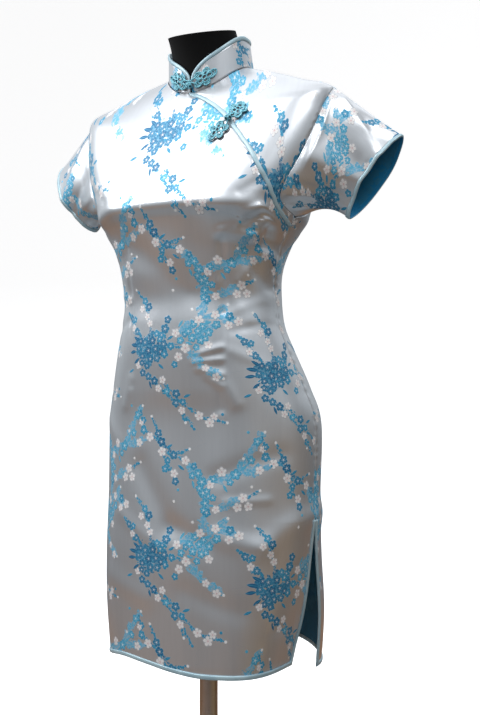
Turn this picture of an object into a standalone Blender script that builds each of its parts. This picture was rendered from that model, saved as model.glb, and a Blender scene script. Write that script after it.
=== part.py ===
# Short-sleeved satin cheongsam worn by a limbless dress form on a countertop stand.
# Metres, +Z up. The front of the dress faces -Y and the wearer's left side is +X.
# The origin is on the floor, at the middle of the stand's round base.
import math

import bpy
import numpy as np

# Dress
HEM_HEIGHT = 0.165  # hem above the floor
CLOTH = 0.0015  # wall of the satin panels
SEAM_GAP = 0.0003  # pieces stop this far apart at a seam
BIND_WIDTH = 0.0060  # bound edges
BIND_WALL = 0.0026
BIND_PROUD = 0.0009  # how far the middle of a binding stands out of its panel
SLIT_HEIGHT = 0.200
CORNER_DROP = 0.008  # the back's left hem corner hangs this much lower
SHOULDER_TILT = 0.022  # the left shoulder stands higher by this share of the width
COLLAR_HEIGHT = 0.040
COLLAR_SKEW = 0.05  # the rim stands higher on the left by this share of its width
COLLAR_FRONT = 0.015  # the collar's ends meet up to this height, then round away
COLLAR_ROUND = math.radians(30)
COLLAR_GAP = math.radians(1.2)  # half the gap between the collar's ends
COLLAR_LEAN = 0.006  # the rim sits this far forward of the seam
COLLAR_CLOSE = 0.003  # and is this much smaller in radius
COLLAR_WALL = 0.0020

# Frog fastenings
FROG_WALL = 0.0030
FROG_LIFT = 0.0014  # underside above the cloth
FROG_SIZE = 0.0175  # from a wing's eyelet to its longest lobe
FROG_EYELET = 0.0025
FROG_REACH = 0.0205  # from the knot button to each wing's eyelet
FROG_ROW = 16.45  # place of the placket's frog, among the rows of SECTIONS
FROG_TURN = math.radians(16)  # and its turn from square across the placket
COLLAR_FROG_HEIGHT = 0.0145  # the collar frog's wings above the neck seam
COLLAR_FROG_DROP = 0.0060  # its knot button sits lower
KNOT_RADIUS = 0.0052

# Form and stand
FORM_EASE = 0.0070  # torso surface below the outside of the cloth
ARM_PINCH = 0.022  # the torso is this much narrower where its arms are cut off
FORM_FLOOR_ROW = 3.35
FORM_FLOOR_EDGE = 0.010  # depth of the bevel round the torso's underside
NECK_RADIUS = 0.047
NECK_TOP = 0.863  # middle of the neck's flat top above the hem
NECK_LEAN = 0.030  # the neck's top stands this far forward of its foot
NECK_SLANT = math.radians(15)  # the top rises towards the back
POLE_RADIUS = 0.0125
FLANGE_RADIUS = 0.038
FLANGE_THICK = 0.008
BASE_RADIUS = 0.150
BASE_THICK = 0.012
BASE_EDGE = 0.004

# Sections of the body of the dress, hem to neck seam, in metres above the hem.
# side, front, back: heights where the section crosses the side, front and back middle
# half: half width; y_front, y_side, y_back: depths; square: 2 is an ellipse, more is boxier
# turn: how late the height leaves the front or back value on its way to the side
SECTION_COLUMNS = ("side", "front", "back", "half", "y_front", "y_side", "y_back", "square", "turn")
SECTIONS = (
    (0.000, 0.000, 0.024, 0.1525, -0.1070, 0.0100, 0.1270, 2.10, 3.2),  # hem
    (0.074, 0.074, 0.090, 0.1575, -0.1065, 0.0105, 0.1275, 2.10, 2.6),
    (0.150, 0.150, 0.152, 0.1550, -0.1070, 0.0100, 0.1270, 2.10, 2.0),
    (0.224, 0.224, 0.224, 0.1525, -0.1050, 0.0130, 0.1300, 2.10, 2.0),
    (0.324, 0.324, 0.324, 0.1530, -0.1030, 0.0170, 0.1330, 2.10, 2.0),  # hips
    (0.374, 0.374, 0.374, 0.1412, -0.1070, 0.0060, 0.1190, 2.10, 2.0),
    (0.424, 0.424, 0.424, 0.1257, -0.1100, -0.0100, 0.0900, 2.10, 2.0),
    (0.457, 0.457, 0.457, 0.1157, -0.1095, -0.0184, 0.0746, 2.10, 2.0),
    (0.490, 0.490, 0.490, 0.1115, -0.1080, -0.0180, 0.0720, 2.10, 2.0),  # waist
    (0.524, 0.526, 0.524, 0.1130, -0.1150, -0.0227, 0.0713, 2.10, 2.0),
    (0.557, 0.562, 0.557, 0.1189, -0.1205, -0.0214, 0.0800, 2.20, 2.0),
    (0.584, 0.592, 0.588, 0.1300, -0.1275, -0.0185, 0.0900, 2.45, 2.0),
    (0.600, 0.609, 0.606, 0.1375, -0.1345, -0.0155, 0.0960, 2.70, 2.0),  # bust crest, underarm
    (0.620, 0.622, 0.626, 0.1470, -0.1305, -0.0115, 0.0985, 2.70, 3.0),
    (0.655, 0.650, 0.660, 0.1650, -0.1185, -0.0060, 0.0995, 2.60, 3.0),
    (0.700, 0.680, 0.704, 0.1800, -0.1040, -0.0015, 0.0985, 2.50, 3.0),
    (0.742, 0.706, 0.742, 0.1875, -0.0910, 0.0030, 0.0955, 2.40, 2.6),
    (0.770, 0.728, 0.774, 0.1850, -0.0795, 0.0060, 0.0900, 2.30, 2.3),  # shoulder tips
    (0.785, 0.747, 0.794, 0.1460, -0.0695, 0.0060, 0.0840, 2.20, 2.2),
    (0.801, 0.763, 0.813, 0.1030, -0.0605, 0.0055, 0.0765, 2.10, 2.1),
    (0.814, 0.774, 0.827, 0.0605, -0.0530, 0.0060, 0.0665, 2.00, 2.0),  # neck seam
)
UNDERARM_ROW = 12.0
TIP_ROW = 17.0
NECK_ROW = float(len(SECTIONS) - 1)
SLIT_ROW = 2.676

# The armholes: climb is 0 at the underarm and 1 at the shoulder tip, the others are angles round
# the section, in degrees from the middle front, at which the front and back stop.
ARMHOLE_COLUMNS = ("climb", "front", "back")
ARMHOLES = (
    (0.00, 90.0, 90.0),
    (0.20, 68.0, 110.0),
    (0.35, 62.0, 117.0),
    (0.50, 64.0, 115.0),
    (0.65, 69.0, 110.0),
    (0.80, 76.0, 103.0),
    (1.00, 90.0, 90.0),
)

# The curved edge of the big front flap, from the left side seam to the middle of the neck:
# its angle round the section at each row of SECTIONS, in degrees from the middle front.
PLACKET_COLUMNS = ("row", "angle")
PLACKET = (
    (11.05, 90.0),
    (11.50, 80.0),
    (12.00, 70.5),
    (12.50, 63.5),
    (13.00, 57.5),
    (14.00, 43.5),
    (15.00, 33.0),
    (16.00, 25.0),
    (17.00, 19.5),
    (18.00, 16.5),
    (19.00, 10.5),
    (20.00, 0.0),
)
PLACKET_END_ROW = 11.10  # the binding starts here, beside the side seam

# How far the front's hem rises, by x.
HEM_COLUMNS = ("x", "rise")
HEM_LINE = (
    (-0.160, 0.0080),
    (-0.120, 0.0125),
    (-0.080, 0.0160),
    (-0.040, 0.0125),
    (0.000, 0.0060),
    (0.040, 0.0010),
    (0.080, 0.0000),
)

# Sleeve cuffs: a ring round a middle point, as x (away from the body), y and z above the hem.
# tall runs from the middle to the top and deep to the back; the back bulges by its own share.
CUFF_COLUMNS = ("side", "middle", "tall", "deep", "back_share")
CUFFS = (
    (1, (0.2370, 0.0260, 0.6515), (0.0340, 0.0100, 0.0540), (0.0040, 0.0185, -0.0030), 1.08),
    (-1, (0.2355, 0.0280, 0.6600), (0.0340, 0.0100, 0.0530), (-0.0040, 0.0440, 0.0060), 0.60),
)
CUFF_POINT = 1.30  # 1 is a round cuff; above it the top and bottom come to a crease
SLEEVE_ARCH = 0.045  # how far the under side of a sleeve rises between the underarm and the cuff
SLEEVE_RINGS = 8

# Largest folds of the front and back, as soft ridges (or troughs, below zero) along straight
# lines: x and z above the hem of both ends, half width and height.
FOLD_COLUMNS = ("part", "x1", "z1", "x2", "z2", "width", "height")
FOLDS = (
    ("front", 0.152, 0.202, 0.114, 0.168, 0.014, 0.0022),
    ("front", 0.114, 0.168, 0.060, 0.181, 0.013, 0.0016),
    ("front", -0.052, 0.268, -0.002, 0.192, 0.017, -0.0024),
    ("front", -0.002, 0.192, 0.045, 0.176, 0.014, -0.0020),
    ("front", 0.124, 0.596, 0.092, 0.552, 0.013, 0.0030),
    ("front", -0.122, 0.598, -0.098, 0.556, 0.012, 0.0024),
    ("back", 0.148, 0.206, 0.095, 0.172, 0.015, 0.0030),
    ("back", -0.146, 0.200, -0.080, 0.186, 0.015, 0.0028),
    ("back", 0.045, 0.272, -0.020, 0.205, 0.018, -0.0024),
    ("back", 0.080, 0.462, -0.075, 0.470, 0.014, 0.0030),
    ("back", 0.128, 0.600, 0.090, 0.548, 0.013, 0.0026),
    ("back", -0.126, 0.602, -0.094, 0.556, 0.013, 0.0028),
)

# Largest folds of the sleeves: start and end are shares of the way from the armhole to the cuff,
# the turns are degrees round the sleeve from its top by the front, with half width and height.
SLEEVE_FOLD_COLUMNS = ("side", "start", "start_turn", "end", "end_turn", "width", "height")
SLEEVE_FOLDS = (
    (1, 0.10, 20.0, 0.85, 74.0, 15.0, 0.0034),
    (1, 0.05, 92.0, 1.00, 104.0, 14.0, 0.0036),
    (1, 0.10, 62.0, 0.70, 88.0, 16.0, -0.0030),
    (1, 0.20, 142.0, 0.90, 138.0, 14.0, -0.0028),
    (1, 0.10, 262.0, 0.90, 290.0, 18.0, 0.0032),
    (-1, 0.10, 52.0, 0.90, 96.0, 14.0, 0.0032),
    (-1, 0.20, 88.0, 1.00, 124.0, 15.0, -0.0028),
    (-1, 0.10, 136.0, 0.90, 150.0, 13.0, 0.0028),
    (-1, 0.15, 268.0, 0.90, 300.0, 17.0, 0.0032),
)

# Colours, roughness and metallic value of each finish
FINISHES = {
    "satin": ((0.66, 0.69, 0.72), 0.32, 0.35),
    "binding": ((0.42, 0.66, 0.76), 0.38, 0.10),
    "cord": ((0.14, 0.48, 0.60), 0.40, 0.10),
    "form": ((0.010, 0.010, 0.012), 0.60, 0.0),
    "steel": ((0.62, 0.63, 0.65), 0.28, 1.0),
}


def clear_scene():
    for thing in list(bpy.data.objects):
        bpy.data.objects.remove(thing)


def finish(name):
    """The Principled material of that name, made once."""
    if name in bpy.data.materials:
        return bpy.data.materials[name]
    colour, roughness, metallic = FINISHES[name]
    material = bpy.data.materials.new(name)
    material.use_nodes = True
    shader = material.node_tree.nodes["Principled BSDF"]
    shader.inputs["Base Color"].default_value = (*colour, 1.0)
    shader.inputs["Roughness"].default_value = roughness
    shader.inputs["Metallic"].default_value = metallic
    return material


def mesh_object(name, points, faces, finish_name):
    mesh = bpy.data.meshes.new(name)
    mesh.from_pydata([tuple(p) for p in points], [], faces)
    mesh.materials.append(finish(finish_name))
    mesh.shade_smooth()
    mesh.set_sharp_from_angle(angle=math.radians(50))
    thing = bpy.data.objects.new(name, mesh)
    bpy.context.scene.collection.objects.link(thing)
    return thing


# Curves and sections


def curve(values, at):
    """Smooth curve through values, which stand at 0, 1, 2 ..., read at the places at."""
    values = np.asarray(values, float)
    padded = np.concatenate([[2 * values[0] - values[1]], values, [2 * values[-1] - values[-2]]])
    at = np.clip(np.asarray(at, float), 0, len(values) - 1)
    k = np.minimum(at.astype(int), len(values) - 2)
    s = at - k
    before, start, end, after = (padded[k + n] for n in range(4))
    rise = (end - before) / 2
    fall = (after - start) / 2
    return start + s * rise + s**2 * (3 * (end - start) - 2 * rise - fall) + s**3 * (
        rise + fall - 2 * (end - start)
    )


def read_table(columns, table, name, at):
    """Smooth curve through one column of a table, whose first column says where each row stands."""
    keys = [row[0] for row in table]
    values = [row[columns.index(name)] for row in table]
    return curve(values, np.interp(at, keys, np.arange(len(keys))))


def section(name, row):
    column = SECTION_COLUMNS.index(name)
    return curve([values[column] for values in SECTIONS], row)


def body_points(angle, row):
    """Points of the dress's body. angle runs from the middle front (0) by the wearer's left
    (90 degrees) to the middle back; row is a place in SECTIONS."""
    angle, row = np.broadcast_arrays(np.asarray(angle, float), np.asarray(row, float))
    s, c = np.sin(angle), np.cos(angle)
    square = section("square", row)
    reach = (np.abs(s) ** square + np.abs(c) ** square) ** (-1 / square)
    y_side = section("y_side", row)
    y_end = np.where(c > 0, section("y_front", row), section("y_back", row))
    z_end = np.where(c > 0, section("front", row), section("back", row))
    x = section("half", row) * s * reach
    y = y_side + (y_end - y_side) * np.abs(c) * reach
    z = z_end + (section("side", row) - z_end) * np.abs(s * reach) ** section("turn", row)
    z += SHOULDER_TILT * x * np.clip((row - UNDERARM_ROW) / (TIP_ROW - UNDERARM_ROW), 0, 1)
    return np.stack([x, y, z + HEM_HEIGHT], axis=-1)


def unit(vectors):
    return vectors / np.maximum(np.linalg.norm(vectors, axis=-1, keepdims=True), 1e-12)


def edge_shift(angle_of, rows, distance):
    """The change of angle that moves an edge curve sideways by distance, square to the curve."""
    step = 0.01
    low = np.clip(rows - step, 0, NECK_ROW)
    high = np.clip(rows + step, 0, NECK_ROW)
    along = unit(body_points(angle_of(high), high) - body_points(angle_of(low), low))
    across = body_points(angle_of(rows) + step, rows) - body_points(angle_of(rows) - step, rows)
    length = np.linalg.norm(across, axis=-1)
    slant = np.linalg.norm(np.cross(across / length[:, None], along), axis=-1)
    return distance * 2 * step / length / np.maximum(slant, 0.2)


def slit_spread(points, front):
    """Below the slits the free edges move: the front's curl in, the back's swing out. More so on the
    wearer's left."""
    left = points[..., 0] > 0
    if front:
        inward = np.where(left, 0.040, 0.020)
        back = np.where(left, 0.012, -0.014)
    else:
        inward = np.where(left, 0.017, 0.010)
        back = np.where(left, 0.050, 0.020)
    fall = np.clip(1 - (points[..., 2] - HEM_HEIGHT) / SLIT_HEIGHT, 0, 1) ** 1.3
    edge = np.clip((np.abs(points[..., 0]) - 0.075) / 0.080, 0, 1) ** 2
    moved = points.copy()
    moved[..., 0] -= np.sign(points[..., 0]) * inward * fall * edge
    moved[..., 1] += back * fall * edge
    if front:
        moved[..., 2] += fall * read_table(HEM_COLUMNS, HEM_LINE, "rise", points[..., 0])
    else:
        moved[..., 2] -= fall * edge * np.where(left, CORNER_DROP, 0)
    return moved


def fold_height(points, front):
    """Height of the folds of the front or back at each point."""
    height = np.zeros(points.shape[:-1])
    place = points[..., (0, 2)] - (0.0, HEM_HEIGHT)
    for part, x1, z1, x2, z2, width, rise in FOLDS:
        if (part == "front") == front:
            start = np.array([x1, z1])
            line = np.array([x2, z2]) - start
            share = np.clip((place - start) @ line / (line @ line), 0, 1)
            apart = np.linalg.norm(place - start - share[..., None] * line, axis=-1)
            height += rise * np.exp(-((apart / width) ** 2))
    return height


def panel_points(angle, row, front):
    """Points of the front or back: the body's, with the slits' free edges moved and folds raised."""
    points = slit_spread(body_points(angle, np.clip(row, 0, NECK_ROW)), front)
    outward = np.stack([np.sin(angle), -np.cos(angle)], axis=-1)
    points[..., :2] += outward * fold_height(points, front)[..., None]
    return points


def panel_surface(angle, row, front):
    """Points of the front or back, and their outward unit normals evened over a short distance."""
    across = panel_points(angle + 0.02, row, front) - panel_points(angle - 0.02, row, front)
    rise = panel_points(angle, row + 0.12, front) - panel_points(angle, row - 0.12, front)
    return panel_points(angle, row, front), unit(np.cross(across, rise))


# Solids from grids of points


def directions(points, axis):
    """Unit direction at each point of a grid along one axis, the mean of its two neighbouring steps."""
    steps = unit(np.diff(points, axis=axis))
    first, last = np.take(steps, [0], axis=axis), np.take(steps, [-1], axis=axis)
    return np.concatenate([first, steps], axis=axis) + np.concatenate([steps, last], axis=axis)


def grid_normals(points, closed):
    """Unit normals of a grid, by the cross product of its two directions."""
    if closed:
        around = np.concatenate([points[:, -1:], points, points[:, :1]], axis=1)
        across = directions(around, 1)[:, 1:-1]
    else:
        across = directions(points, 1)
    return unit(np.cross(across, directions(points, 0)))


def grid_faces(rows, columns, closed):
    """Faces of a wall: the outer and inner layers of a grid, split along the same diagonals, and
    the rims between them."""
    layer = rows * columns
    spans = columns if closed else columns - 1
    faces = []
    for i in range(rows - 1):
        for j in range(spans):
            a = i * columns + j
            b = i * columns + (j + 1) % columns
            c = b + columns
            d = a + columns
            faces += [(a, b, c), (a, c, d)]
            faces += [(layer + c, layer + b, layer + a), (layer + d, layer + c, layer + a)]
    last = (rows - 1) * columns
    for j in range(spans):
        k = (j + 1) % columns
        faces.append((k, j, layer + j, layer + k))
        faces.append((last + j, last + k, layer + last + k, layer + last + j))
    if not closed:
        for i in range(rows - 1):
            a = i * columns
            b = a + columns
            c = a + columns - 1
            d = b + columns - 1
            faces.append((a, b, layer + b, layer + a))
            faces.append((d, c, layer + c, layer + d))
    return faces


def wall(name, points, thick, finish_name, closed=False, lift=0.0, normals=None):
    """A closed cloth wall inward of a grid of outer points, rows upwards and columns anticlockwise
    from above. lift moves the outer side out first, by one amount or one for each column."""
    if normals is None:
        normals = grid_normals(points, closed)
    lift = np.broadcast_to(np.asarray(lift, float), points.shape[:2])[..., None]
    outer = points + normals * lift
    inner = points - normals * (thick - lift.max())
    vertices = np.concatenate([outer.reshape(-1, 3), inner.reshape(-1, 3)])
    faces = grid_faces(points.shape[0], points.shape[1], closed)
    return mesh_object(name, vertices, faces, finish_name)


def loft(name, rings, finish_name):
    """A closed solid through rings that run upwards, each anticlockwise from above, capped flat."""
    rings = np.asarray(rings, float)
    levels, around = rings.shape[:2]
    faces = []
    for i in range(levels - 1):
        for j in range(around):
            a = i * around + j
            b = i * around + (j + 1) % around
            faces.append((a, b, b + around, a + around))
    faces.append(tuple(reversed(range(around))))
    faces.append(tuple((levels - 1) * around + j for j in range(around)))
    return mesh_object(name, rings.reshape(-1, 3), faces, finish_name)


def turned(name, profile, finish_name, sides, middle=(0.0, 0.0, 0.0)):
    """A solid of revolution on an upright axis, from radius and height pairs that run upwards."""
    turn = np.linspace(0, 2 * math.pi, sides, endpoint=False)
    rings = [np.stack([r * np.cos(turn), r * np.sin(turn), turn * 0 + z], axis=-1) for r, z in profile]
    loft(name, np.array(rings) + middle, finish_name)


# Edges of the panels


CLIMB = np.linspace(0, 1, 101)
CLIMB_SHARE = 0.35 * CLIMB + 0.65 * (1 - np.cos(math.pi * CLIMB)) / 2  # slower at both ends


def climb_rows(steps):
    """Rows from the underarm to the shoulder tip, closer together at both ends."""
    share = np.interp(np.linspace(0, 1, steps + 1), CLIMB, CLIMB_SHARE)
    return UNDERARM_ROW + (TIP_ROW - UNDERARM_ROW) * share


def armhole_angle(row, side):
    """Angle at which the front or back panel stops: the side seam below the underarm, the armhole,
    and the shoulder seam above it."""
    share = (row - UNDERARM_ROW) / (TIP_ROW - UNDERARM_ROW)
    climb = np.interp(share, CLIMB_SHARE, CLIMB)
    return np.radians(read_table(ARMHOLE_COLUMNS, ARMHOLES, side, climb))


def placket_angle(row):
    return np.radians(read_table(PLACKET_COLUMNS, PLACKET, "angle", row))


def seam_inset(rows, distance):
    """Change of angle for a distance in from the side, armhole or shoulder seam."""
    return edge_shift(lambda row: armhole_angle(row, "front"), rows, distance)


def row_list(*spans):
    """Row places from (start, end, steps) spans and ready-made arrays, without repeats."""
    places = []
    for span in spans:
        if isinstance(span, np.ndarray):
            places += list(span)
        else:
            start, end, steps = span
            places += list(np.linspace(start, end, steps + 1))
    return np.unique(np.round(places, 6))


ARM_STEPS = 12
HEM_ROW = BIND_WIDTH / SECTIONS[1][0]  # upper edge of the hem's binding
GAP_ROW = SEAM_GAP / SECTIONS[1][0]
SKIRT_ROWS = row_list(
    (HEM_ROW + GAP_ROW, 1.6, 2),
    (1.6, SLIT_ROW - 2 * GAP_ROW, 5),
    (SLIT_ROW + 2 * GAP_ROW, 3.6, 3),
    (3.6, 9.0, 6),
    (9.0, PLACKET_END_ROW - 0.04, 3),
)
PLACKET_ROWS = row_list((PLACKET_END_ROW, 11.35, 1), (11.35, UNDERARM_ROW, 2))
YOKE_ROWS = row_list((TIP_ROW, NECK_ROW - 0.06, 4))
UPPER_ROWS = row_list(PLACKET_ROWS, climb_rows(ARM_STEPS), YOKE_ROWS)
FRONT_COLUMNS = 23
BACK_COLUMNS = 21


def side_edge(rows, side):
    """Angle at which a panel's grid ends: at its seam, or at the slit's binding below that."""
    sign = -1 if side == "front" else 1
    distance = np.where(rows < SLIT_ROW, BIND_WIDTH + 2 * SEAM_GAP, SEAM_GAP / 2 + 0.0001)
    return armhole_angle(rows, side) + sign * seam_inset(rows, distance)


def panel(name, rows, low, high, columns, front):
    """A cloth wall between the angles low and high at each row."""
    angles = low[:, None] + (high - low)[:, None] * np.linspace(0, 1, columns)
    points, normals = panel_surface(angles, rows[:, None] + 0 * angles, front)
    wall(name, points, CLOTH, "satin", normals=normals)


def front_flap():
    """All of the front below the underarm, and the part to the right of the placket above it."""
    rows = row_list(SKIRT_ROWS, UPPER_ROWS)
    right = side_edge(rows, "front")
    trim = edge_shift(placket_angle, rows, BIND_WIDTH / 2 + SEAM_GAP)
    left = np.where(rows < PLACKET_END_ROW, right, np.minimum(right, placket_angle(rows) - trim))
    panel("front_flap", rows, -right, left, FRONT_COLUMNS, True)


def under_flap():
    """The small front piece between the placket, the neck, the shoulder and the armhole."""
    rows = UPPER_ROWS[UPPER_ROWS > PLACKET_END_ROW + 0.2]
    low = placket_angle(rows) + edge_shift(placket_angle, rows, BIND_WIDTH / 2 + SEAM_GAP)
    panel("under_flap", rows, low, side_edge(rows, "front"), 8, True)


def back_panel():
    rows = row_list(SKIRT_ROWS, UPPER_ROWS)
    edge = side_edge(rows, "back")
    panel("back", rows, edge, 2 * math.pi - edge, BACK_COLUMNS, False)


BIND_LIFT = np.array([0.0, 1.0, 1.0, 0.0]) * (BIND_PROUD - SEAM_GAP) + SEAM_GAP


def placket_binding():
    rows = UPPER_ROWS.copy()
    rows[0] += 0.07
    half = edge_shift(placket_angle, rows, BIND_WIDTH / 2)
    limit = armhole_angle(rows, "front") - seam_inset(rows, SEAM_GAP)
    low = (placket_angle(rows) - half)[:, None]
    high = np.minimum(placket_angle(rows) + half, limit)[:, None]
    angles = low + (high - low) * np.linspace(0, 1, 4)
    points, normals = panel_surface(angles, rows[:, None] + 0 * angles, True)
    wall("placket_binding", points, BIND_WALL, "binding", lift=BIND_LIFT[None, :], normals=normals)


def hem_binding(name, low, high, columns, front):
    """Binding down one slit edge, along the hem and up the other, mitred at the corners."""
    slit_rows = SKIRT_ROWS[SKIRT_ROWS < SLIT_ROW][::-1]
    slit_rows = slit_rows[slit_rows > 2 * HEM_ROW]
    slit_rows[0] -= GAP_ROW
    paths = []
    for distance, hem_row in ((SEAM_GAP / 2 + 0.0001, 0.0), (BIND_WIDTH + SEAM_GAP, HEM_ROW)):
        rows = np.concatenate([slit_rows, np.full(columns, hem_row), slit_rows[::-1]])
        inset = seam_inset(rows, distance)
        share = np.concatenate([slit_rows * 0, np.linspace(0, 1, columns), slit_rows * 0 + 1])
        paths.append((low + inset + (high - low - 2 * inset) * share, rows))
    across = np.linspace(0, 1, 4)[:, None]
    angles = paths[0][0] + (paths[1][0] - paths[0][0]) * across
    rows = paths[0][1] + (paths[1][1] - paths[0][1]) * across
    points, normals = panel_surface(angles, rows, front)
    wall(name, points, BIND_WALL, "binding", lift=BIND_LIFT[:, None], normals=normals)


# Sleeves


def armhole_ring(side):
    """Points and outward normals just outside an armhole: shoulder tip, front, underarm, back."""
    rows = climb_rows(ARM_STEPS)
    rows[0] += 0.03
    rows[-1] -= 0.03
    front = armhole_angle(rows, "front") + seam_inset(rows, SEAM_GAP)
    back = armhole_angle(rows, "back") - seam_inset(rows, SEAM_GAP)
    front[[0, -1]] = math.pi / 2
    halves = (panel_surface(side * front[::-1], rows[::-1], True), panel_surface(side * back, rows, False))
    points = np.concatenate([halves[0][0], halves[1][0][1:-1]])
    normals = np.concatenate([halves[0][1], halves[1][1][1:-1]])
    return points * (side, 1, 1), normals * (side, 1, 1)


def sleeve_surface(side, middle, tall, deep, back_share):
    """A function that gives sleeve points at shares (0 armhole, 1 cuff) for each column, and the
    normals at the armhole."""
    start, start_normals = armhole_ring(side)
    turn = np.linspace(0, 2 * math.pi, len(start), endpoint=False)[:, None]
    tall, deep = np.array(tall), np.array(deep)
    centre = np.array(middle) + (0.0, 0.0, HEM_HEIGHT)
    lens = np.sin(turn) * np.abs(np.sin(turn)) ** (CUFF_POINT - 1)
    end = centre + np.cos(turn) * tall - np.where(lens > 0, lens, lens * back_share) * deep
    under = np.clip(-np.cos(turn), 0, 1) ** 2
    leave = (end - start) * 0.9 + under * (0.0, 0.0, SLEEVE_ARCH)
    aim = unit(np.cross(deep, tall))
    arrive = (end - start) * 0.5 + aim * 0.04 - under * (0.0, 0.0, SLEEVE_ARCH)

    def points(share):
        s = np.asarray(share)[..., None]
        hermite = (
            start * (1 + 2 * s) * (1 - s) ** 2
            + leave * s * (1 - s) ** 2
            + end * s**2 * (3 - 2 * s)
            + arrive * s**2 * (s - 1)
        )
        outward = unit(hermite - hermite.mean(axis=-2, keepdims=True))
        folds = sleeve_fold_height(side, np.asarray(share), np.degrees(turn[:, 0]))
        return (hermite + outward * folds[..., None]) * (side, 1, 1)

    return points, start_normals * (side, 1, 1), np.linalg.norm(end - start, axis=1)


def sleeve_fold_height(side, share, turn):
    """Height of a sleeve's folds at shares of its length and turns round it in degrees."""
    height = np.zeros(np.broadcast(share, turn).shape)
    for which, start, start_turn, end, end_turn, width, rise in SLEEVE_FOLDS:
        if which == side:
            along = np.clip((share - start) / (end - start), 0, 1)
            off = (turn - start_turn - (end_turn - start_turn) * along) / width
            ends = np.clip(share / (start + 0.1), 0, 1) * np.clip((1.3 - share) / (1.3 - end), 0, 1)
            height += rise * ends * np.exp(-(off**2))
    return height


def sleeve(side, middle, tall, deep, back_share):
    points, start_normals, length = sleeve_surface(side, middle, tall, deep, back_share)
    order = np.arange(len(length))[:: int(side)]
    word = "left" if side > 0 else "right"
    binding = BIND_WIDTH / length
    body_end = 1 - binding - SEAM_GAP / length
    grid = points(np.linspace(0, 1, SLEEVE_RINGS)[:, None] * body_end)[:, order]
    normals = grid_normals(grid, True)
    normals[0] = start_normals[order]
    wall("sleeve_" + word, grid, CLOTH, "satin", closed=True, normals=normals)
    strip = points(1 - binding * np.linspace(1, 0, 4)[:, None])[:, order]
    wall("cuff_binding_" + word, strip, BIND_WALL, "binding", closed=True, lift=BIND_LIFT[:, None])


def sleeves():
    for row in CUFFS:
        sleeve(*row)


# Collar


def collar_rim(angle):
    """Height of the collar's rim above its seam: short at the middle front, then rounding up."""
    off = np.clip(1 - np.minimum(angle, 2 * math.pi - angle) / COLLAR_ROUND, 0, 1)
    rise = COLLAR_FRONT + (COLLAR_HEIGHT - COLLAR_FRONT) * np.sqrt(1 - off**2)
    return rise + COLLAR_SKEW * section("half", NECK_ROW) * np.sin(angle)


def collar_points(angle, height):
    """Points of the collar's outer side, at a height above the neck seam."""
    share = np.asarray(height) / COLLAR_HEIGHT
    foot = body_points(angle, NECK_ROW)
    middle = (section("y_front", NECK_ROW) + section("y_back", NECK_ROW)) / 2
    x = foot[..., 0] * (1 - COLLAR_CLOSE * share / section("half", NECK_ROW))
    y = middle + (foot[..., 1] - middle) * (1 - COLLAR_CLOSE * share / section("half", NECK_ROW))
    return np.stack([x, y - COLLAR_LEAN * share, foot[..., 2] + height], axis=-1)


def collar():
    """The band, and the binding along its rim and down to the seam at the front ends."""
    near = COLLAR_GAP + (math.radians(38) - COLLAR_GAP) * np.linspace(0, 1, 8) ** 1.4
    far = np.linspace(near[-1], 2 * math.pi - near[-1], 22)[1:-1]
    angles = np.concatenate([near, far, 2 * math.pi - near[::-1]])
    rim = collar_rim(angles)
    slope = np.gradient(rim, angles) / section("half", NECK_ROW)
    foot = np.maximum(rim - BIND_WIDTH * np.sqrt(1 + slope**2), 0.0035)
    band = collar_points(angles, np.linspace(0.0003, 1, 4)[:, None] * (foot - SEAM_GAP))
    wall("collar", band, COLLAR_WALL, "satin")
    strip = collar_points(angles, foot + np.linspace(0, 1, 4)[:, None] * (rim - foot))
    wall("collar_binding", strip, COLLAR_WALL + BIND_PROUD, "binding", lift=BIND_LIFT[:, None])


# Frog fastenings


def placket_frame(row):
    """A function from distances across and along the placket, from its point at that row, to body
    points."""
    angle = float(placket_angle(row))
    step = 0.01
    origin = body_points(angle, row)
    turn = (body_points(angle + step, row) - body_points(angle - step, row)) / (2 * step)
    rise = (body_points(angle, row + step) - body_points(angle, row - step)) / (2 * step)
    next_angle = float(placket_angle(row + step))
    along = unit(body_points(next_angle, row + step) - origin)
    outward = unit(np.cross(turn, rise))
    across = np.cross(along, outward)
    to_rows = np.linalg.pinv(np.stack([turn, rise], axis=1))

    def place(u, v):
        change = (np.asarray(u)[..., None] * across + np.asarray(v)[..., None] * along) @ to_rows.T
        return body_points(angle + change[..., 0], row + change[..., 1])

    return place


def frog_wing(name, place, reach, turn):
    """A butterfly wing of coiled cord as one lobed plate with an eyelet, lifted off the cloth."""
    around = np.linspace(2 * math.pi, 0, 24, endpoint=False)
    edge = 0.78 + 0.12 * np.cos(2 * around) + 0.13 * np.cos(5 * around)
    radius = FROG_EYELET + (FROG_SIZE * edge - FROG_EYELET) * np.linspace(0, 1, 3)[:, None]
    points = place(reach + radius * np.cos(around + turn), 0.9 * radius * np.sin(around + turn))
    normals = grid_normals(points, True)
    top = points + normals * (FROG_LIFT + FROG_WALL)
    wall(name, top, FROG_WALL, "cord", closed=True, normals=normals)


def knot(name, place, drop):
    """The knot button between the wings, a ball just clear of the cloth."""
    half = 0.001
    across, up = np.meshgrid([-half, half], [-half, half])
    square = place(across, up - drop)
    outward = grid_normals(square, False).mean(axis=(0, 1))
    centre = square.mean(axis=(0, 1)) + unit(outward) * (KNOT_RADIUS + FROG_LIFT)
    steps = np.linspace(0, math.pi, 8)[1:-1]
    profile = [(KNOT_RADIUS * math.sin(t), -KNOT_RADIUS * math.cos(t)) for t in steps]
    turned(name, profile, "cord", 12, centre)


def frog(name, place, drop):
    frog_wing(name + "_left", place, FROG_REACH, 0.0)
    frog_wing(name + "_right", place, -FROG_REACH, math.pi)
    knot(name + "_knot", place, drop)


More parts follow.
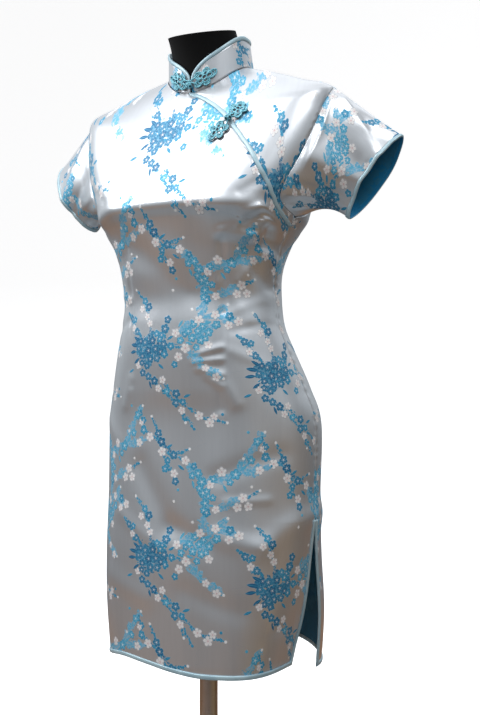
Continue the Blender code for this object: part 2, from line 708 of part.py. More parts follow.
def frogs():
    placket_place = placket_frame(FROG_ROW)

    def on_collar(across, up):
        angle = across / section("half", NECK_ROW) % (2 * math.pi)
        return collar_points(angle, up + COLLAR_FROG_HEIGHT)

    def on_placket(across, along):
        c, s = math.cos(FROG_TURN), math.sin(FROG_TURN)
        return placket_place(across * c - along * s, across * s + along * c)

    frog("collar_frog", on_collar, COLLAR_FROG_DROP)
    frog("placket_frog", on_placket, 0.0)


# Dress form and stand


def form_torso():
    """The torso under the dress, its arms cut off flat, with a neck that leans forward."""
    angles = np.linspace(0, 2 * math.pi, 32, endpoint=False)
    rows = row_list((FORM_FLOOR_ROW, UNDERARM_ROW, 9), (UNDERARM_ROW, TIP_ROW, 6), (TIP_ROW, NECK_ROW, 3))
    outside = body_points(angles, rows[:, None])
    rings = outside - grid_normals(outside, True) * FORM_EASE
    narrow = np.sin(math.pi * np.clip((rows - 11.6) / 6.6, 0, 1)) ** 2 * ARM_PINCH
    rings[..., 0] *= 1 - narrow[:, None] / section("half", rows)[:, None]
    sole = rings[:1].copy()
    sole[..., :2] = sole[..., :2] * 0.90 + sole[..., :2].mean(axis=1, keepdims=True) * 0.10
    sole[..., 2] -= FORM_FLOOR_EDGE
    foot = rings[-1]
    top_y = foot[:, 1].mean() - NECK_LEAN
    circle = np.stack([np.sin(angles), -np.cos(angles), -np.cos(angles) * math.tan(NECK_SLANT)], axis=-1)
    top = circle * NECK_RADIUS + (0.0, top_y, NECK_TOP + HEM_HEIGHT)
    neck = []
    for share in (0.25, 0.5, 0.75, 1.0):
        ring = foot + (top - foot) * (1 - (1 - share) ** 2)
        ring[:, 1] += NECK_LEAN * (1 - (1 - share) ** 2 - share**1.5)
        ring[:, 2] = foot[:, 2] + (top[:, 2] - foot[:, 2]) * share
        neck.append(ring)
    loft("form_torso", np.concatenate([sole, rings, neck]), "form")


def stand():
    torso_floor = float(section("side", FORM_FLOOR_ROW)) + HEM_HEIGHT - FORM_FLOOR_EDGE
    flange_top = torso_floor - SEAM_GAP
    flange_floor = flange_top - FLANGE_THICK
    edge = (BASE_RADIUS - BASE_EDGE, BASE_THICK)
    pole_floor = BASE_THICK + SEAM_GAP
    turned("base", ((BASE_RADIUS, 0.0), (BASE_RADIUS, BASE_THICK - BASE_EDGE), edge), "steel", 48)
    turned("pole", ((POLE_RADIUS, pole_floor), (POLE_RADIUS, flange_floor - SEAM_GAP)), "steel", 24)
    turned("flange", ((FLANGE_RADIUS, flange_floor), (FLANGE_RADIUS, flange_top)), "steel", 32)


def build():
    clear_scene()
    front_flap()
    under_flap()
    back_panel()
    placket_binding()
    hem_binding("hem_binding_front", -math.pi / 2, math.pi / 2, FRONT_COLUMNS, True)
    hem_binding("hem_binding_back", math.pi / 2, 1.5 * math.pi, BACK_COLUMNS, False)
    sleeves()
    collar()
    frogs()
    form_torso()
    stand()


build()
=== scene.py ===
import math
from functools import partialmethod
import bpy
import numpy as np
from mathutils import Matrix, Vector


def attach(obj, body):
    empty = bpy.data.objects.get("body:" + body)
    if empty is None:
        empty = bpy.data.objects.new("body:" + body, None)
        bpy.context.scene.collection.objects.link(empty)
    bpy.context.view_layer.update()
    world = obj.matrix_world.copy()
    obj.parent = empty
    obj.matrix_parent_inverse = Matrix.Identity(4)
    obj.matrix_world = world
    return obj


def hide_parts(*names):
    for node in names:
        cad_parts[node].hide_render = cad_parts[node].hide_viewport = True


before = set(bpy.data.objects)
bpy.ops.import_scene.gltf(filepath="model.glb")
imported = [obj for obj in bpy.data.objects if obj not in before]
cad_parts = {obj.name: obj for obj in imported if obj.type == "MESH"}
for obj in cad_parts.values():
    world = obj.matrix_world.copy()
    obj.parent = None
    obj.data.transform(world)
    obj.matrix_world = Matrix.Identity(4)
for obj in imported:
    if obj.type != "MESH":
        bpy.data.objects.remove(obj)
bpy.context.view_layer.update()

# Satin cheongsam on a limbless dress form. Metres, the front faces -Y, the wearer's left is +X.
scene = bpy.context.scene
scene.view_settings.view_transform = "Standard"
print("frame loaded")

camera = {
    "turn": 28.0,  # degrees from the front towards the wearer's left
    "distance": 1.55,
    "height": 0.522,
    "aimRight": 1.59,  # degrees
    "aimUp": 2.18,
    "lens": 56.14,  # millimetres on a 36 mm frame
}


def lookFrom(name, data, place, aim):
    # an object put at a place and turned to look along aim
    thing = bpy.data.objects.new(name, data)
    scene.collection.objects.link(thing)
    thing.location = place
    thing.rotation_euler = Vector(aim).to_track_quat("-Z", "Y").to_euler()
    return thing


def makeCamera():
    # on a circle round the dress, looking at its axis and a little to the right and up
    turn, right, up = (math.radians(camera[key]) for key in ("turn", "aimRight", "aimUp"))
    data = bpy.data.cameras.new("camera")
    data.lens = camera["lens"]
    data.clip_end = 30
    away = camera["distance"]
    place = (away * math.sin(turn), -away * math.cos(turn), camera["height"])
    aim = (-math.sin(turn - right), math.cos(turn - right), math.tan(up))
    scene.camera = lookFrom("camera", data, place, aim)


makeCamera()

# Body of the dress, from its sections

dress = {
    "hem": 0.165,
    "cloth": 0.0012,
    "seamGap": 0.0003,
    "bindWidth": 0.0060,
    "slitHeight": 0.200,
    "slitRow": 2.676,
    "cornerDrop": 0.008,
    "shoulderTilt": 0.022,
    "underarmRow": 12.0,
    "tipRow": 17.0,
    "neckRow": 20.0,
    "seamBlend": 0.14,  # cosine of the angle over which creases even out at a side seam
    "step": 0.0028,  # spacing of the cloth's points
}

# heights above the hem where a section crosses the side, front and back, its half width, depths,
# how boxy it is, and how late the height leaves the middle's value on its way to the side
sectionColumns = ("side", "front", "back", "half", "yFront", "ySide", "yBack", "square", "turn")
sectionRows = np.array((
    (0.000, 0.000, 0.024, 0.1525, -0.1070, 0.0100, 0.1270, 2.10, 3.2),  # hem
    (0.074, 0.074, 0.090, 0.1575, -0.1065, 0.0105, 0.1275, 2.10, 2.6),
    (0.150, 0.150, 0.152, 0.1550, -0.1070, 0.0100, 0.1270, 2.10, 2.0),
    (0.224, 0.224, 0.224, 0.1525, -0.1050, 0.0130, 0.1300, 2.10, 2.0),
    (0.324, 0.324, 0.324, 0.1530, -0.1030, 0.0170, 0.1330, 2.10, 2.0),  # hips
    (0.374, 0.374, 0.374, 0.1412, -0.1070, 0.0060, 0.1190, 2.10, 2.0),
    (0.424, 0.424, 0.424, 0.1257, -0.1100, -0.0100, 0.0900, 2.10, 2.0),
    (0.457, 0.457, 0.457, 0.1157, -0.1095, -0.0184, 0.0746, 2.10, 2.0),
    (0.490, 0.490, 0.490, 0.1115, -0.1080, -0.0180, 0.0720, 2.10, 2.0),  # waist
    (0.524, 0.526, 0.524, 0.1130, -0.1150, -0.0227, 0.0713, 2.10, 2.0),
    (0.557, 0.562, 0.557, 0.1189, -0.1205, -0.0214, 0.0800, 2.20, 2.0),
    (0.584, 0.592, 0.588, 0.1300, -0.1275, -0.0185, 0.0900, 2.45, 2.0),
    (0.600, 0.609, 0.606, 0.1375, -0.1345, -0.0155, 0.0960, 2.70, 2.0),  # bust crest, underarm
    (0.620, 0.622, 0.626, 0.1470, -0.1305, -0.0115, 0.0985, 2.70, 3.0),
    (0.655, 0.650, 0.660, 0.1650, -0.1185, -0.0060, 0.0995, 2.60, 3.0),
    (0.700, 0.680, 0.704, 0.1800, -0.1040, -0.0015, 0.0985, 2.50, 3.0),
    (0.742, 0.706, 0.742, 0.1875, -0.0910, 0.0030, 0.0955, 2.40, 2.6),
    (0.770, 0.728, 0.774, 0.1850, -0.0795, 0.0060, 0.0900, 2.30, 2.3),  # shoulder tips
    (0.785, 0.747, 0.794, 0.1460, -0.0695, 0.0060, 0.0840, 2.20, 2.2),
    (0.801, 0.763, 0.813, 0.1030, -0.0605, 0.0055, 0.0765, 2.10, 2.1),
    (0.814, 0.774, 0.827, 0.0605, -0.0530, 0.0060, 0.0665, 2.00, 2.0),  # neck seam
))

# climb from underarm (0) to shoulder tip (1), and where the front and back stop, degrees round
armholeRows = np.array((
    (0, 90, 90), (0.2, 68, 110), (0.35, 62, 117), (0.5, 64, 115), (0.65, 69, 110), (0.8, 76, 103),
    (1, 90, 90),
))

# the curved edge of the front flap: section row and degrees round from the middle front
placketRows = np.array((
    (11.05, 90), (11.5, 80), (12, 70.5), (12.5, 63.5), (13, 57.5), (14, 43.5), (15, 33), (16, 25),
    (17, 19.5), (18, 16.5), (19, 10.5), (20, 0),
))
placketEndRow = 11.10

# how far the free edges move at the hem, inward and backward, at the wearer's left and right
slits = {
    "front": ((0.040, 0.020), (0.012, -0.014)),
    "back": ((0.017, 0.010), (0.050, 0.020)),
    "from": 0.075,  # x where the movement starts
    "width": 0.080,  # from there to the full movement
}

# how far the front's hem rises, by x
hemLine = np.array((
    (-0.16, 0.008), (-0.12, 0.0125), (-0.08, 0.016), (-0.04, 0.0125), (0, 0.006), (0.04, 0.001),
    (0.08, 0),
))

# creases in millimetres, as lines from (x1, z1) to (x2, z2) above the hem, with half width and
# height (below zero is a trough); the large ones come first, the fine ones follow
creases = {
    "front": (
        (152, 202, 114, 168, 14, 2.2), (114, 168, 60, 181, 13, 1.6), (-52, 268, -2, 192, 17, -2.4),
        (-2, 192, 45, 176, 14, -2), (124, 596, 92, 552, 13, 3), (-122, 598, -98, 556, 12, 2.4),
        # waist darts, and the dimples at their ends
        (72.5, 562, 69, 470, 4.6, -2), (69, 470, 66.5, 345, 5, -1.2), (-72.5, 562, -67.5, 376, 4, -1.1),
        (68, 385, 85, 352, 8, 1.2), (-68, 385, -80, 350, 8, 1.1),
        # puckers at the waist, then the folds above and beside them
        (42, 417, 68, 425, 4.6, 1.7), (36, 406, 68, 409, 4.2, 1.6), (40, 397, 67, 390, 4.4, 1.6),
        (50, 387, 68, 374, 4, 1), (-92, 580, 30, 500, 19, -2.4), (-80, 610, 10, 545, 15, 1.2),
        (72, 570, 104, 568, 6, 2), (104, 568, 116, 538, 5.5, 1.8), (93, 553, 112, 504, 7.5, -2.4),
        (66, 508, 98, 462, 8.5, 1), (74, 226, 118, 228, 6, 0.8), (122, 604, 100, 592, 3.6, 2.4),
        (124, 596, 98, 580, 3.4, -2.2), (122, 588, 106, 566, 3.6, 2.2), (120, 578, 112, 554, 3.4, -2),
        (78, 470, 104, 486, 6, 0.6), (82, 446, 110, 455, 5.5, -0.6), (80, 420, 118, 402, 7, 0.7),
        (-70, 492, -100, 500, 6, 1.2), (-74, 464, -108, 452, 6, -1.1),
        # drag lines to the armpits
        (118, 588, 75, 575, 5.5, 1.7), (114, 566, 82, 536, 6, -1.5), (108, 548, 88, 512, 5.5, 1.4),
        (-118, 580, -84, 560, 6, 1.3), (128, 640, 104, 622, 7, -1.3), (-126, 640, -104, 624, 7, -1.2),
        # across the skirt
        (60, 258, 128, 286, 12, -1.2), (-90, 205, -20, 168, 10, 1), (-110, 120, -40, 98, 15, 1.2),
        (20, 110, 90, 85, 15, -1.1), (105, 150, 118, 60, 10, 1.4), (-130, 330, -95, 300, 12, 1.2),
    ),
    "back": (
        (148, 206, 95, 172, 15, 3), (-146, 200, -80, 186, 15, 2.8), (45, 272, -20, 205, 18, -2.4),
        (80, 462, -75, 470, 14, 3), (128, 600, 90, 548, 13, 2.6), (-126, 602, -94, 556, 13, 2.8),
        # waist darts, then the folds beside and below them
        (52, 580, 48, 372, 4, -1.1), (-52, 580, -48, 372, 4, -1.1), (95, 486, 30, 494, 6.5, -1.3),
        (-30, 440, -98, 448, 6.5, 1.4), (-20, 500, -90, 512, 6, 1.2), (102, 430, 58, 418, 7, 1.3),
        (110, 572, 74, 540, 6, -1.4), (-112, 570, -80, 530, 6, -1.3), (100, 660, 70, 600, 11, 1.2),
        (-104, 664, -74, 610, 11, 1.3), (-60, 120, 30, 95, 16, 1.2), (90, 300, 30, 335, 14, -1.2),
        (-110, 300, -60, 262, 13, 1.3),
    ),
}


def smoothCurve(values, at):
    # a curve through values that stand at 0, 1, 2 ..., with slopes taken from the neighbours
    padded = np.concatenate([[2 * values[0] - values[1]], values, [2 * values[-1] - values[-2]]])
    at = np.clip(at, 0, len(values) - 1)
    index = np.minimum(at.astype(int), len(values) - 2)
    share = at - index
    before, start, end, after = (padded[index + n] for n in range(4))
    rise = (end - before) / 2
    fall = (after - start) / 2
    bend = 3 * (end - start) - 2 * rise - fall
    last = rise + fall - 2 * (end - start)
    return start + share * rise + share**2 * bend + share**3 * last


def readTable(rows, column, at):
    # a smooth curve through one column, where the first column says how far along each row is
    return smoothCurve(rows[:, column], np.interp(at, rows[:, 0], np.arange(len(rows))))


def section(name, row):
    # one measure of the body, on a smooth curve through the sections
    return smoothCurve(sectionRows[:, sectionColumns.index(name)], row)


def unit(vectors):
    # vectors over their lengths
    return vectors / np.maximum(np.linalg.norm(vectors, axis=-1, keepdims=True), 1e-12)


def onceRound(count):
    # even angles once round, without the last
    return np.linspace(0, 2 * math.pi, count, endpoint=False)


def travelled(points, axis=0):
    # the length walked along a line of points, from 0 at the first
    steps = np.linalg.norm(np.diff(points, axis=axis), axis=-1)
    return np.concatenate([0 * steps.take([0], axis), np.cumsum(steps, axis=axis)], axis=axis)


def bodyPoints(angle, row):
    # a superellipse at each row: x and y from the powers of sine and cosine, z between the
    # middle's height and the side's height by how far x reaches
    angle, row = np.broadcast_arrays(angle, row)
    sine, cosine = np.sin(angle), np.cos(angle)
    square = section("square", row)
    reach = (np.abs(sine) ** square + np.abs(cosine) ** square) ** (-1 / square)
    ySide = section("ySide", row)
    yEnd = np.where(cosine > 0, section("yFront", row), section("yBack", row))
    zEnd = np.where(cosine > 0, section("front", row), section("back", row))
    x = section("half", row) * sine * reach
    y = ySide + (yEnd - ySide) * np.abs(cosine) * reach
    z = zEnd + (section("side", row) - zEnd) * np.abs(sine * reach) ** section("turn", row)
    climb = np.clip((row - dress["underarmRow"]) / (dress["tipRow"] - dress["underarmRow"]), 0, 1)
    return np.stack([x, y, z + dress["shoulderTilt"] * x * climb + dress["hem"]], axis=-1)


def edgeShift(angleOf, rows, distance):
    # the change of angle that moves an edge sideways by distance, square to the edge
    step = 0.01
    low, high = np.clip(rows - step, 0, dress["neckRow"]), np.clip(rows + step, 0, dress["neckRow"])
    along = unit(bodyPoints(angleOf(high), high) - bodyPoints(angleOf(low), low))
    across = bodyPoints(angleOf(rows) + step, rows) - bodyPoints(angleOf(rows) - step, rows)
    length = np.linalg.norm(across, axis=-1)
    slant = np.linalg.norm(np.cross(across / length[:, None], along), axis=-1)
    return distance * 2 * step / length / np.maximum(slant, 0.2)


def slitSpread(points, part):
    # below the slits the free edges curl in and swing back, by the fall to the hem and by how
    # near the side a point lies
    left = points[..., 0] > 0
    inward, backward = (np.where(left, *pair) for pair in slits[part])
    fall = np.clip(1 - (points[..., 2] - dress["hem"]) / dress["slitHeight"], 0, 1) ** 1.3
    edge = np.clip((np.abs(points[..., 0]) - slits["from"]) / slits["width"], 0, 1) ** 2
    moved = points.copy()
    moved[..., 0] -= np.sign(points[..., 0]) * inward * fall * edge
    moved[..., 1] += backward * fall * edge
    if part == "front":
        moved[..., 2] += fall * readTable(hemLine, 1, points[..., 0])
    else:
        moved[..., 2] -= fall * edge * np.where(left, dress["cornerDrop"], 0)
    return moved


def creaseHeight(points, part):
    # the sum of soft ridges: height times a bell curve of the distance from each crease's line
    height = np.zeros(points.shape[:-1])
    place = points[..., (0, 2)] - (0.0, dress["hem"])
    for x1, z1, x2, z2, width, rise in np.array(creases[part]) / 1000:
        start, line = np.array([x1, z1]), np.array([x2 - x1, z2 - z1])
        share = np.clip((place - start) @ line / (line @ line), 0, 1)
        apart = np.linalg.norm(place - start - share[..., None] * line, axis=-1)
        height += rise * np.exp(-((apart / width) ** 2))
    return height


def panelPoints(angle, row, part):
    # body points with the slits' spread, moved straight out by the creases
    points = slitSpread(bodyPoints(angle, np.clip(row, 0, dress["neckRow"])), part)
    outward = np.stack([np.sin(angle), -np.cos(angle)], axis=-1)
    height = creaseHeight(points, part)
    # where they meet at the side seam, front and back take the mean of their two heights
    meet = np.broadcast_to(np.exp(-((np.cos(angle) / dress["seamBlend"]) ** 2)) / 2, height.shape)
    near = meet > 0.002
    other = creaseHeight(points[near], "back" if part == "front" else "front")
    height[near] += meet[near] * (other - height[near])
    points[..., :2] += outward * height[..., None]
    return points


def panelSurface(angle, row, part, turn=0.01, climb=0.06):
    # points, and normals from the cross product of small steps round and up
    across = panelPoints(angle + turn, row, part) - panelPoints(angle - turn, row, part)
    rise = panelPoints(angle, row + climb, part) - panelPoints(angle, row - climb, part)
    return panelPoints(angle, row, part), unit(np.cross(across, rise))


# how far up the armhole its steps lie: a straight line mixed with half a cosine wave
climbSteps = np.linspace(0, 1, 101)
climbShare = 0.35 * climbSteps + 0.65 * (1 - np.cos(math.pi * climbSteps)) / 2


def armholeAngle(row, part):
    # where the front or the back stops at a row, by how far the row has climbed
    span = dress["tipRow"] - dress["underarmRow"]
    climb = np.interp((row - dress["underarmRow"]) / span, climbShare, climbSteps)
    return np.radians(readTable(armholeRows, 1 if part == "front" else 2, climb))


def placketAngle(row):
    # where the front flap's curved edge lies at a row
    return np.radians(readTable(placketRows, 1, row))


def seamInset(rows, distance):
    # the change of angle that moves the side seam or armhole by a distance
    return edgeShift(lambda row: armholeAngle(row, "front"), rows, distance)


def evenRows(low, high, step):
    # rows about one step apart along the cloth, by the longer of the ways up the middle and
    # near the side
    dense = np.linspace(low, high, 1500)
    travel = np.maximum(*(travelled(bodyPoints(angle, dense)) for angle in (0.0, 1.2)))
    return np.interp(np.linspace(0, travel[-1], max(2, int(travel[-1] / step) + 1)), travel, dense)


print("dress worked out")

# Meshes


def numbered(rows, columns):
    # the numbers of a grid's points, row by row
    return np.arange(rows * columns).reshape(rows, columns)


def goneRound(grid):
    # a grid with its first column once more at its end
    return np.concatenate([grid, grid[:, :1]], axis=1)


def gridCorners(grid, flip):
    # the four corners of each cell of a grid, row by row
    cells = np.stack([grid[:-1, :-1], grid[:-1, 1:], grid[1:, 1:], grid[1:, :-1]], axis=2)
    cells = cells.reshape(-1, 4, *grid.shape[2:])
    return cells[:, ::-1] if flip else cells


def stripCorners(outer, inner, flip):
    # the four corners of each cell between two lines
    cells = np.stack([outer[:-1], inner[:-1], inner[1:], outer[1:]], axis=1)
    return cells[:, ::-1] if flip else cells


def wallCorners(outer, inner, closed):
    # both layers of a wall, and the rims between them
    low, high = stripCorners(outer[0], inner[0], False), stripCorners(outer[-1], inner[-1], True)
    cells = [gridCorners(outer, False), gridCorners(inner, True), low, high]
    if not closed:
        cells.append(stripCorners(outer[:, 0], inner[:, 0], True))
        cells.append(stripCorners(outer[:, -1], inner[:, -1], False))
    return np.concatenate(cells)


def makeMesh(name, points, quads, materials, slots=None, sharp=None):
    # a smooth mesh from points and faces of four corners; sharp is an angle in degrees
    mesh = bpy.data.meshes.new(name)
    mesh.vertices.add(len(points))
    mesh.vertices.foreach_set("co", np.ascontiguousarray(points, dtype=np.float32).ravel())
    mesh.loops.add(quads.size)
    mesh.loops.foreach_set("vertex_index", np.ascontiguousarray(quads, dtype=np.int32).ravel())
    mesh.polygons.add(len(quads))
    mesh.polygons.foreach_set("loop_start", np.arange(0, quads.size, 4, dtype=np.int32))
    for material in materials:
        mesh.materials.append(material)
    if slots is not None:
        mesh.polygons.foreach_set("material_index", np.asarray(slots, dtype=np.int32))
    mesh.update(calc_edges=True)
    mesh.shade_smooth()
    if sharp:
        mesh.set_sharp_from_angle(angle=math.radians(sharp))
    thing = bpy.data.objects.new(name, mesh)
    scene.collection.objects.link(thing)
    return thing


def shell(name, outer, inner, materials, closed=False, cloth=None):
    # a thin wall from an outer and an inner grid. cloth holds the flat place of each outer point,
    # with one more column on a tube, and carries the woven pattern
    index = numbered(*outer.shape[:2])
    if closed:
        index = goneRound(index)
    quads = wallCorners(index, index + outer[..., 0].size, closed)
    layer = (index.shape[0] - 1) * (index.shape[1] - 1)
    slots = np.zeros(len(quads), int)
    slots[layer:2 * layer] = len(materials) - 1
    points = np.concatenate([outer.reshape(-1, 3), inner.reshape(-1, 3)])
    thing = makeMesh(name, points, quads, materials, slots)
    if cloth is not None:
        layCloth(thing, wallCorners(cloth, cloth, closed))
    return thing


def dressed(thing, nodes):
    # a finished piece: it rides on the root body and stands for its nodes
    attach(thing, "root")
    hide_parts(*nodes)
    return thing


# One spray in millimetres from the middle of its bouquet, read across and up. It repeats across
# the cloth, each neighbour a little lower.
blossoms = {
    "across": 172.0,
    "drop": -34.0,
    "up": 275.0,
    "size": 6.2,  # half the width of a flower
    "budSize": 2.2,
    "turn": 137.5,  # degrees from one flower to the next
    "leafStretch": 2.4,
    "leafCell": 3.3,
}

# across, up, size, tone (0 deep, 1 mid, 2 sky, 3 white)
flowerChart = np.array((
    (0, 0, 1.05, 0), (12, 2, 1, 0), (-6, 11, 1, 0), (7, 13, 1, 0), (3, -11, 1, 0), (14, -10, 1, 0),
    (-11, -7, 0.9, 0), (25, 8, 1, 0), (26, -5, 1, 1), (36, 5, 0.9, 1), (-18, 3, 0.8, 0), (20, -2, 0.9, 0),
    (-3, -20, 0.85, 0), (14, 22, 0.85, 1), (-12, -16, 0.8, 0), (19, 15, 0.9, 1), (-14, 13, 0.8, 0),
    (50, 12, 0.9, 2), (61, 24, 0.9, 2), (68, 33, 0.85, 2), (80, 30, 0.9, 2), (84, 14, 0.85, 2),
    (72, 3, 0.8, 2), (84, 92, 0.85, 2), (74, 96, 0.9, 2), (86, 86, 0.8, 2), (80, 68, 0.85, 2),
    (64, 112, 0.85, 2), (92, 108, 0.85, 2), (-8, 66, 0.9, 1), (-1, 58, 1, 0), (-14, 56, 0.9, 3),
    (-3, 45, 0.9, 3), (2, 36, 0.9, 3), (-37, 44, 0.9, 0), (-28, 42, 0.8, 1), (-30, 31, 0.9, 3),
    (-22, 26, 0.9, 0), (31, 40, 0.9, 0), (27, 28, 1.1, 0), (22, 20, 0.8, 1), (43, 22, 1, 3),
    (57, 2, 1.15, 3), (47, -9, 1.05, 3), (41, -19, 0.8, 1), (-19, -19, 0.9, 3), (-11, -29, 0.9, 0),
    (-1, -34, 0.9, 0), (9, -40, 1, 0), (22, -39, 0.9, 3), (15, -50, 0.9, 3), (28, -54, 0.8, 2),
    (42, -57, 1, 0), (41, -69, 1, 0), (51, -68, 0.8, 1), (49, -79, 0.9, 3), (73, -86, 1.05, 3),
    (87, -95, 1.1, 3), (93, -87, 0.9, 3), (66, 15, 1, 2), (78, 12, 1, 2), (56, 20, 0.8, 1),
    (75, 38, 1.1, 3), (96, 45, 1, 3), (115, 43, 1, 1), (98, 32, 1, 2), (114, 31, 1, 3), (127, 36, 1.1, 3),
    (74, 24, 0.9, 2), (88, 22, 1, 2), (88, 6, 1, 3), (84, -24, 0.9, 3), (98, -36, 1, 3),
    (-12, 183, 0.8, 1), (-12, 170, 1, 1), (-1, 161, 1.1, 3), (13, 166, 1, 0), (18, 155, 1.1, 0),
    (19, 142, 1.1, 3), (37, 138, 1, 0), (28, 131, 0.8, 1), (24, 120, 0.9, 1), (54, 131, 1.05, 3),
    (38, 114, 1, 3), (40, 104, 0.9, 0), (72, 115, 1, 2), (66, 124, 0.8, 1), (77, 104, 1.1, 2),
    (79, 90, 1.1, 2), (82, 77, 1, 2), (88, 101, 1.05, 3), (103, 117, 1.1, 3), (121, 114, 1.2, 2),
    (114, 104, 0.8, 2), (152, 119, 1, 3), (149, 156, 1, 2), (156, 146, 0.8, 3), (84, 65, 1, 1),
    (96, 69, 0.95, 3), (131, 84, 1.1, 3), (124, 72, 1.05, 3), (138, 73, 1.05, 3), (92, 84, 0.8, 2),
    (141, 132, 0.9, 2),
))

# across, up, tone
budChart = np.array((
    (-25, 82, 3), (-17, 195, 1), (104, -84, 1), (110, -95, 3), (54, -95, 3), (66, -103, 1), (107, -38, 3),
    (70, -7, 2), (77, -15, 2), (131, 134, 3), (168, 124, 1), (142, 98, 3), (153, 93, 3), (65, 52, 3),
    (44, 93, 2), (112, 58, 3), (-47, 52, 1), (38, 78, 3), (2, 188, 3), (60, 146, 3), (137, 168, 2),
    (159, 168, 3),
))

# across, up, half length, degrees, tone
leafChart = np.array((
    (-27, 8, 9, 172, 0), (-30, -1, 8, 186, 0), (-22, 16, 7.5, 152, 0), (-22, -13, 7, 214, 0),
    (-16, 22, 6.5, 130, 1), (18, 18, 6, 60, 1), (-34, -26, 6, 200, 1), (20, -21, 6, -40, 1),
    (35, 16, 6, 30, 1), (50, 34, 6, 55, 2), (86, 34, 7, 20, 2), (66, 100, 6.5, 110, 2),
    (90, 74, 6, -20, 2), (30, 149, 6, 30, 1), (48, 122, 6, -35, 1), (131, 122, 6.5, 40, 2),
    (2, -45, 6, -70, 0), (57, -60, 6, 20, 1), (62, 8, 6, -15, 2), (108, 96, 6, -60, 2),
))

# twigs: across, up of both ends, and tone (3 is the full ground of a bouquet)
twigChart = np.array((
    (-47, 52, -37, 44, 1), (-37, 44, -22, 26, 1), (-22, 26, -6, 11, 0), (-25, 82, -8, 66, 1),
    (-8, 66, 2, 36, 1), (2, 36, 7, 13, 0), (31, 40, 25, 8, 1), (25, 8, 57, 2, 1), (-11, -29, 9, -40, 0),
    (9, -40, 41, -69, 1), (41, -62, 73, -86, 1), (73, -86, 110, -95, 1), (43, 22, 75, 38, 2),
    (75, 38, 96, 45, 2), (96, 45, 127, 36, 2), (66, 15, 98, 32, 2), (57, 2, 84, -24, 2),
    (84, -24, 107, -38, 2), (-17, 195, -12, 170, 1), (-12, 170, 18, 155, 1), (18, 155, 37, 138, 0),
    (37, 138, 54, 131, 1), (19, 142, 40, 104, 1), (54, 131, 79, 104, 2), (77, 104, 84, 65, 2),
    (79, 104, 121, 114, 2), (121, 114, 149, 156, 2), (149, 156, 159, 168, 2), (121, 114, 168, 124, 2),
    (84, 65, 75, 38, 2), (96, 69, 131, 84, 2), (131, 84, 153, 93, 1), (54, -95, 49, -79, 1),
    (66, -103, 49, -79, 1), (-24, -1, 30, 3, 3), (-4, -24, 8, 26, 3), (-26, 8, 4, 12, 3),
    (0, -11, -19, -19, 0), (-24, 8, 14, -10, 1), (-20, -8, 12, 12, 1), (-8, 15, 4, -14, 1),
    (22, -42, 38, -56, 1), (-34, 30, -20, 22, 1), (62, 14, 84, 24, 2), (70, 112, 92, 96, 2),
    (80, 96, 80, 70, 2), (20, 150, 34, 134, 1), (112, 58, 98, 45, 2), (37, 138, 60, 146, 1),
    (13, 166, 2, 188, 1),
))


def nearestCopy(places, points):
    # from each charted point to a place, by way of the repeat's nearest copy
    away = places[:, None, :] - points[None, :, :]
    sideways = np.round(away[..., 0] / blossoms["across"])
    away[..., 0] -= sideways * blossoms["across"]
    away[..., 1] -= sideways * blossoms["drop"]
    away[..., 1] -= np.round(away[..., 1] / blossoms["up"]) * blossoms["up"]
    return away


def motifRows(chart, half, turns, stretched, kind):
    # a chart's motifs as across, up, half size, turn, stretch, kind (0 flower, 1 leaf, 2 bud), tone
    columns = np.broadcast_arrays(*chart[:, :2].T, half, turns, stretched, kind, chart[:, -1])
    return np.stack(columns, axis=1)


flowerTurns = np.arange(len(flowerChart)) * blossoms["turn"] % 360
motifs = np.concatenate([
    motifRows(flowerChart, flowerChart[:, 2] * blossoms["size"], flowerTurns, 1.0, 0),
    motifRows(leafChart, leafChart[:, 2], leafChart[:, 3], blossoms["leafStretch"], 1),
    motifRows(budChart, blossoms["budSize"], 0.0, 1.0, 2),
])
twigMiddle = (twigChart[:, :2] + twigChart[:, 2:4]) / 2
twigHalf = (twigChart[:, 2:4] - twigChart[:, :2]) / 2
twigLength = np.linalg.norm(twigHalf, axis=1)
twigTurn = np.arctan2(twigHalf[:, 1], twigHalf[:, 0])


def nearestShape(corners, centres, turns, reachOf):
    # the nearest of the charted shapes to each face, and the face's corners along and across that
    # shape: the dot products with the cosine and sine of its turn
    middle = corners.mean(axis=1)
    axis = np.stack([np.cos(turns), np.sin(turns)], 1)
    side = np.stack([-np.sin(turns), np.cos(turns)], 1)
    away = nearestCopy(middle, centres)
    best = reachOf((away * axis).sum(-1), (away * side).sum(-1)).argmin(axis=1)
    centre = middle - away[np.arange(len(best)), best]
    local = corners - centre[:, None]
    return best, (local * axis[best, None]).sum(-1), (local * side[best, None]).sum(-1)


def motifReach(along, across):
    # distance in half sizes, a little longer for leaves
    far = np.hypot(along, across * motifs[:, 4]) / motifs[:, 2]
    return far * (1 + 0.25 * (motifs[:, 5] == 1))


def twigReach(along, across):
    # distance from the line between a twig's ends, shorter for the ground of a bouquet
    far = np.hypot(np.maximum(np.abs(along) - twigLength, 0), across)
    return np.where(twigChart[:, 4] == 3, far * 0.45, far)


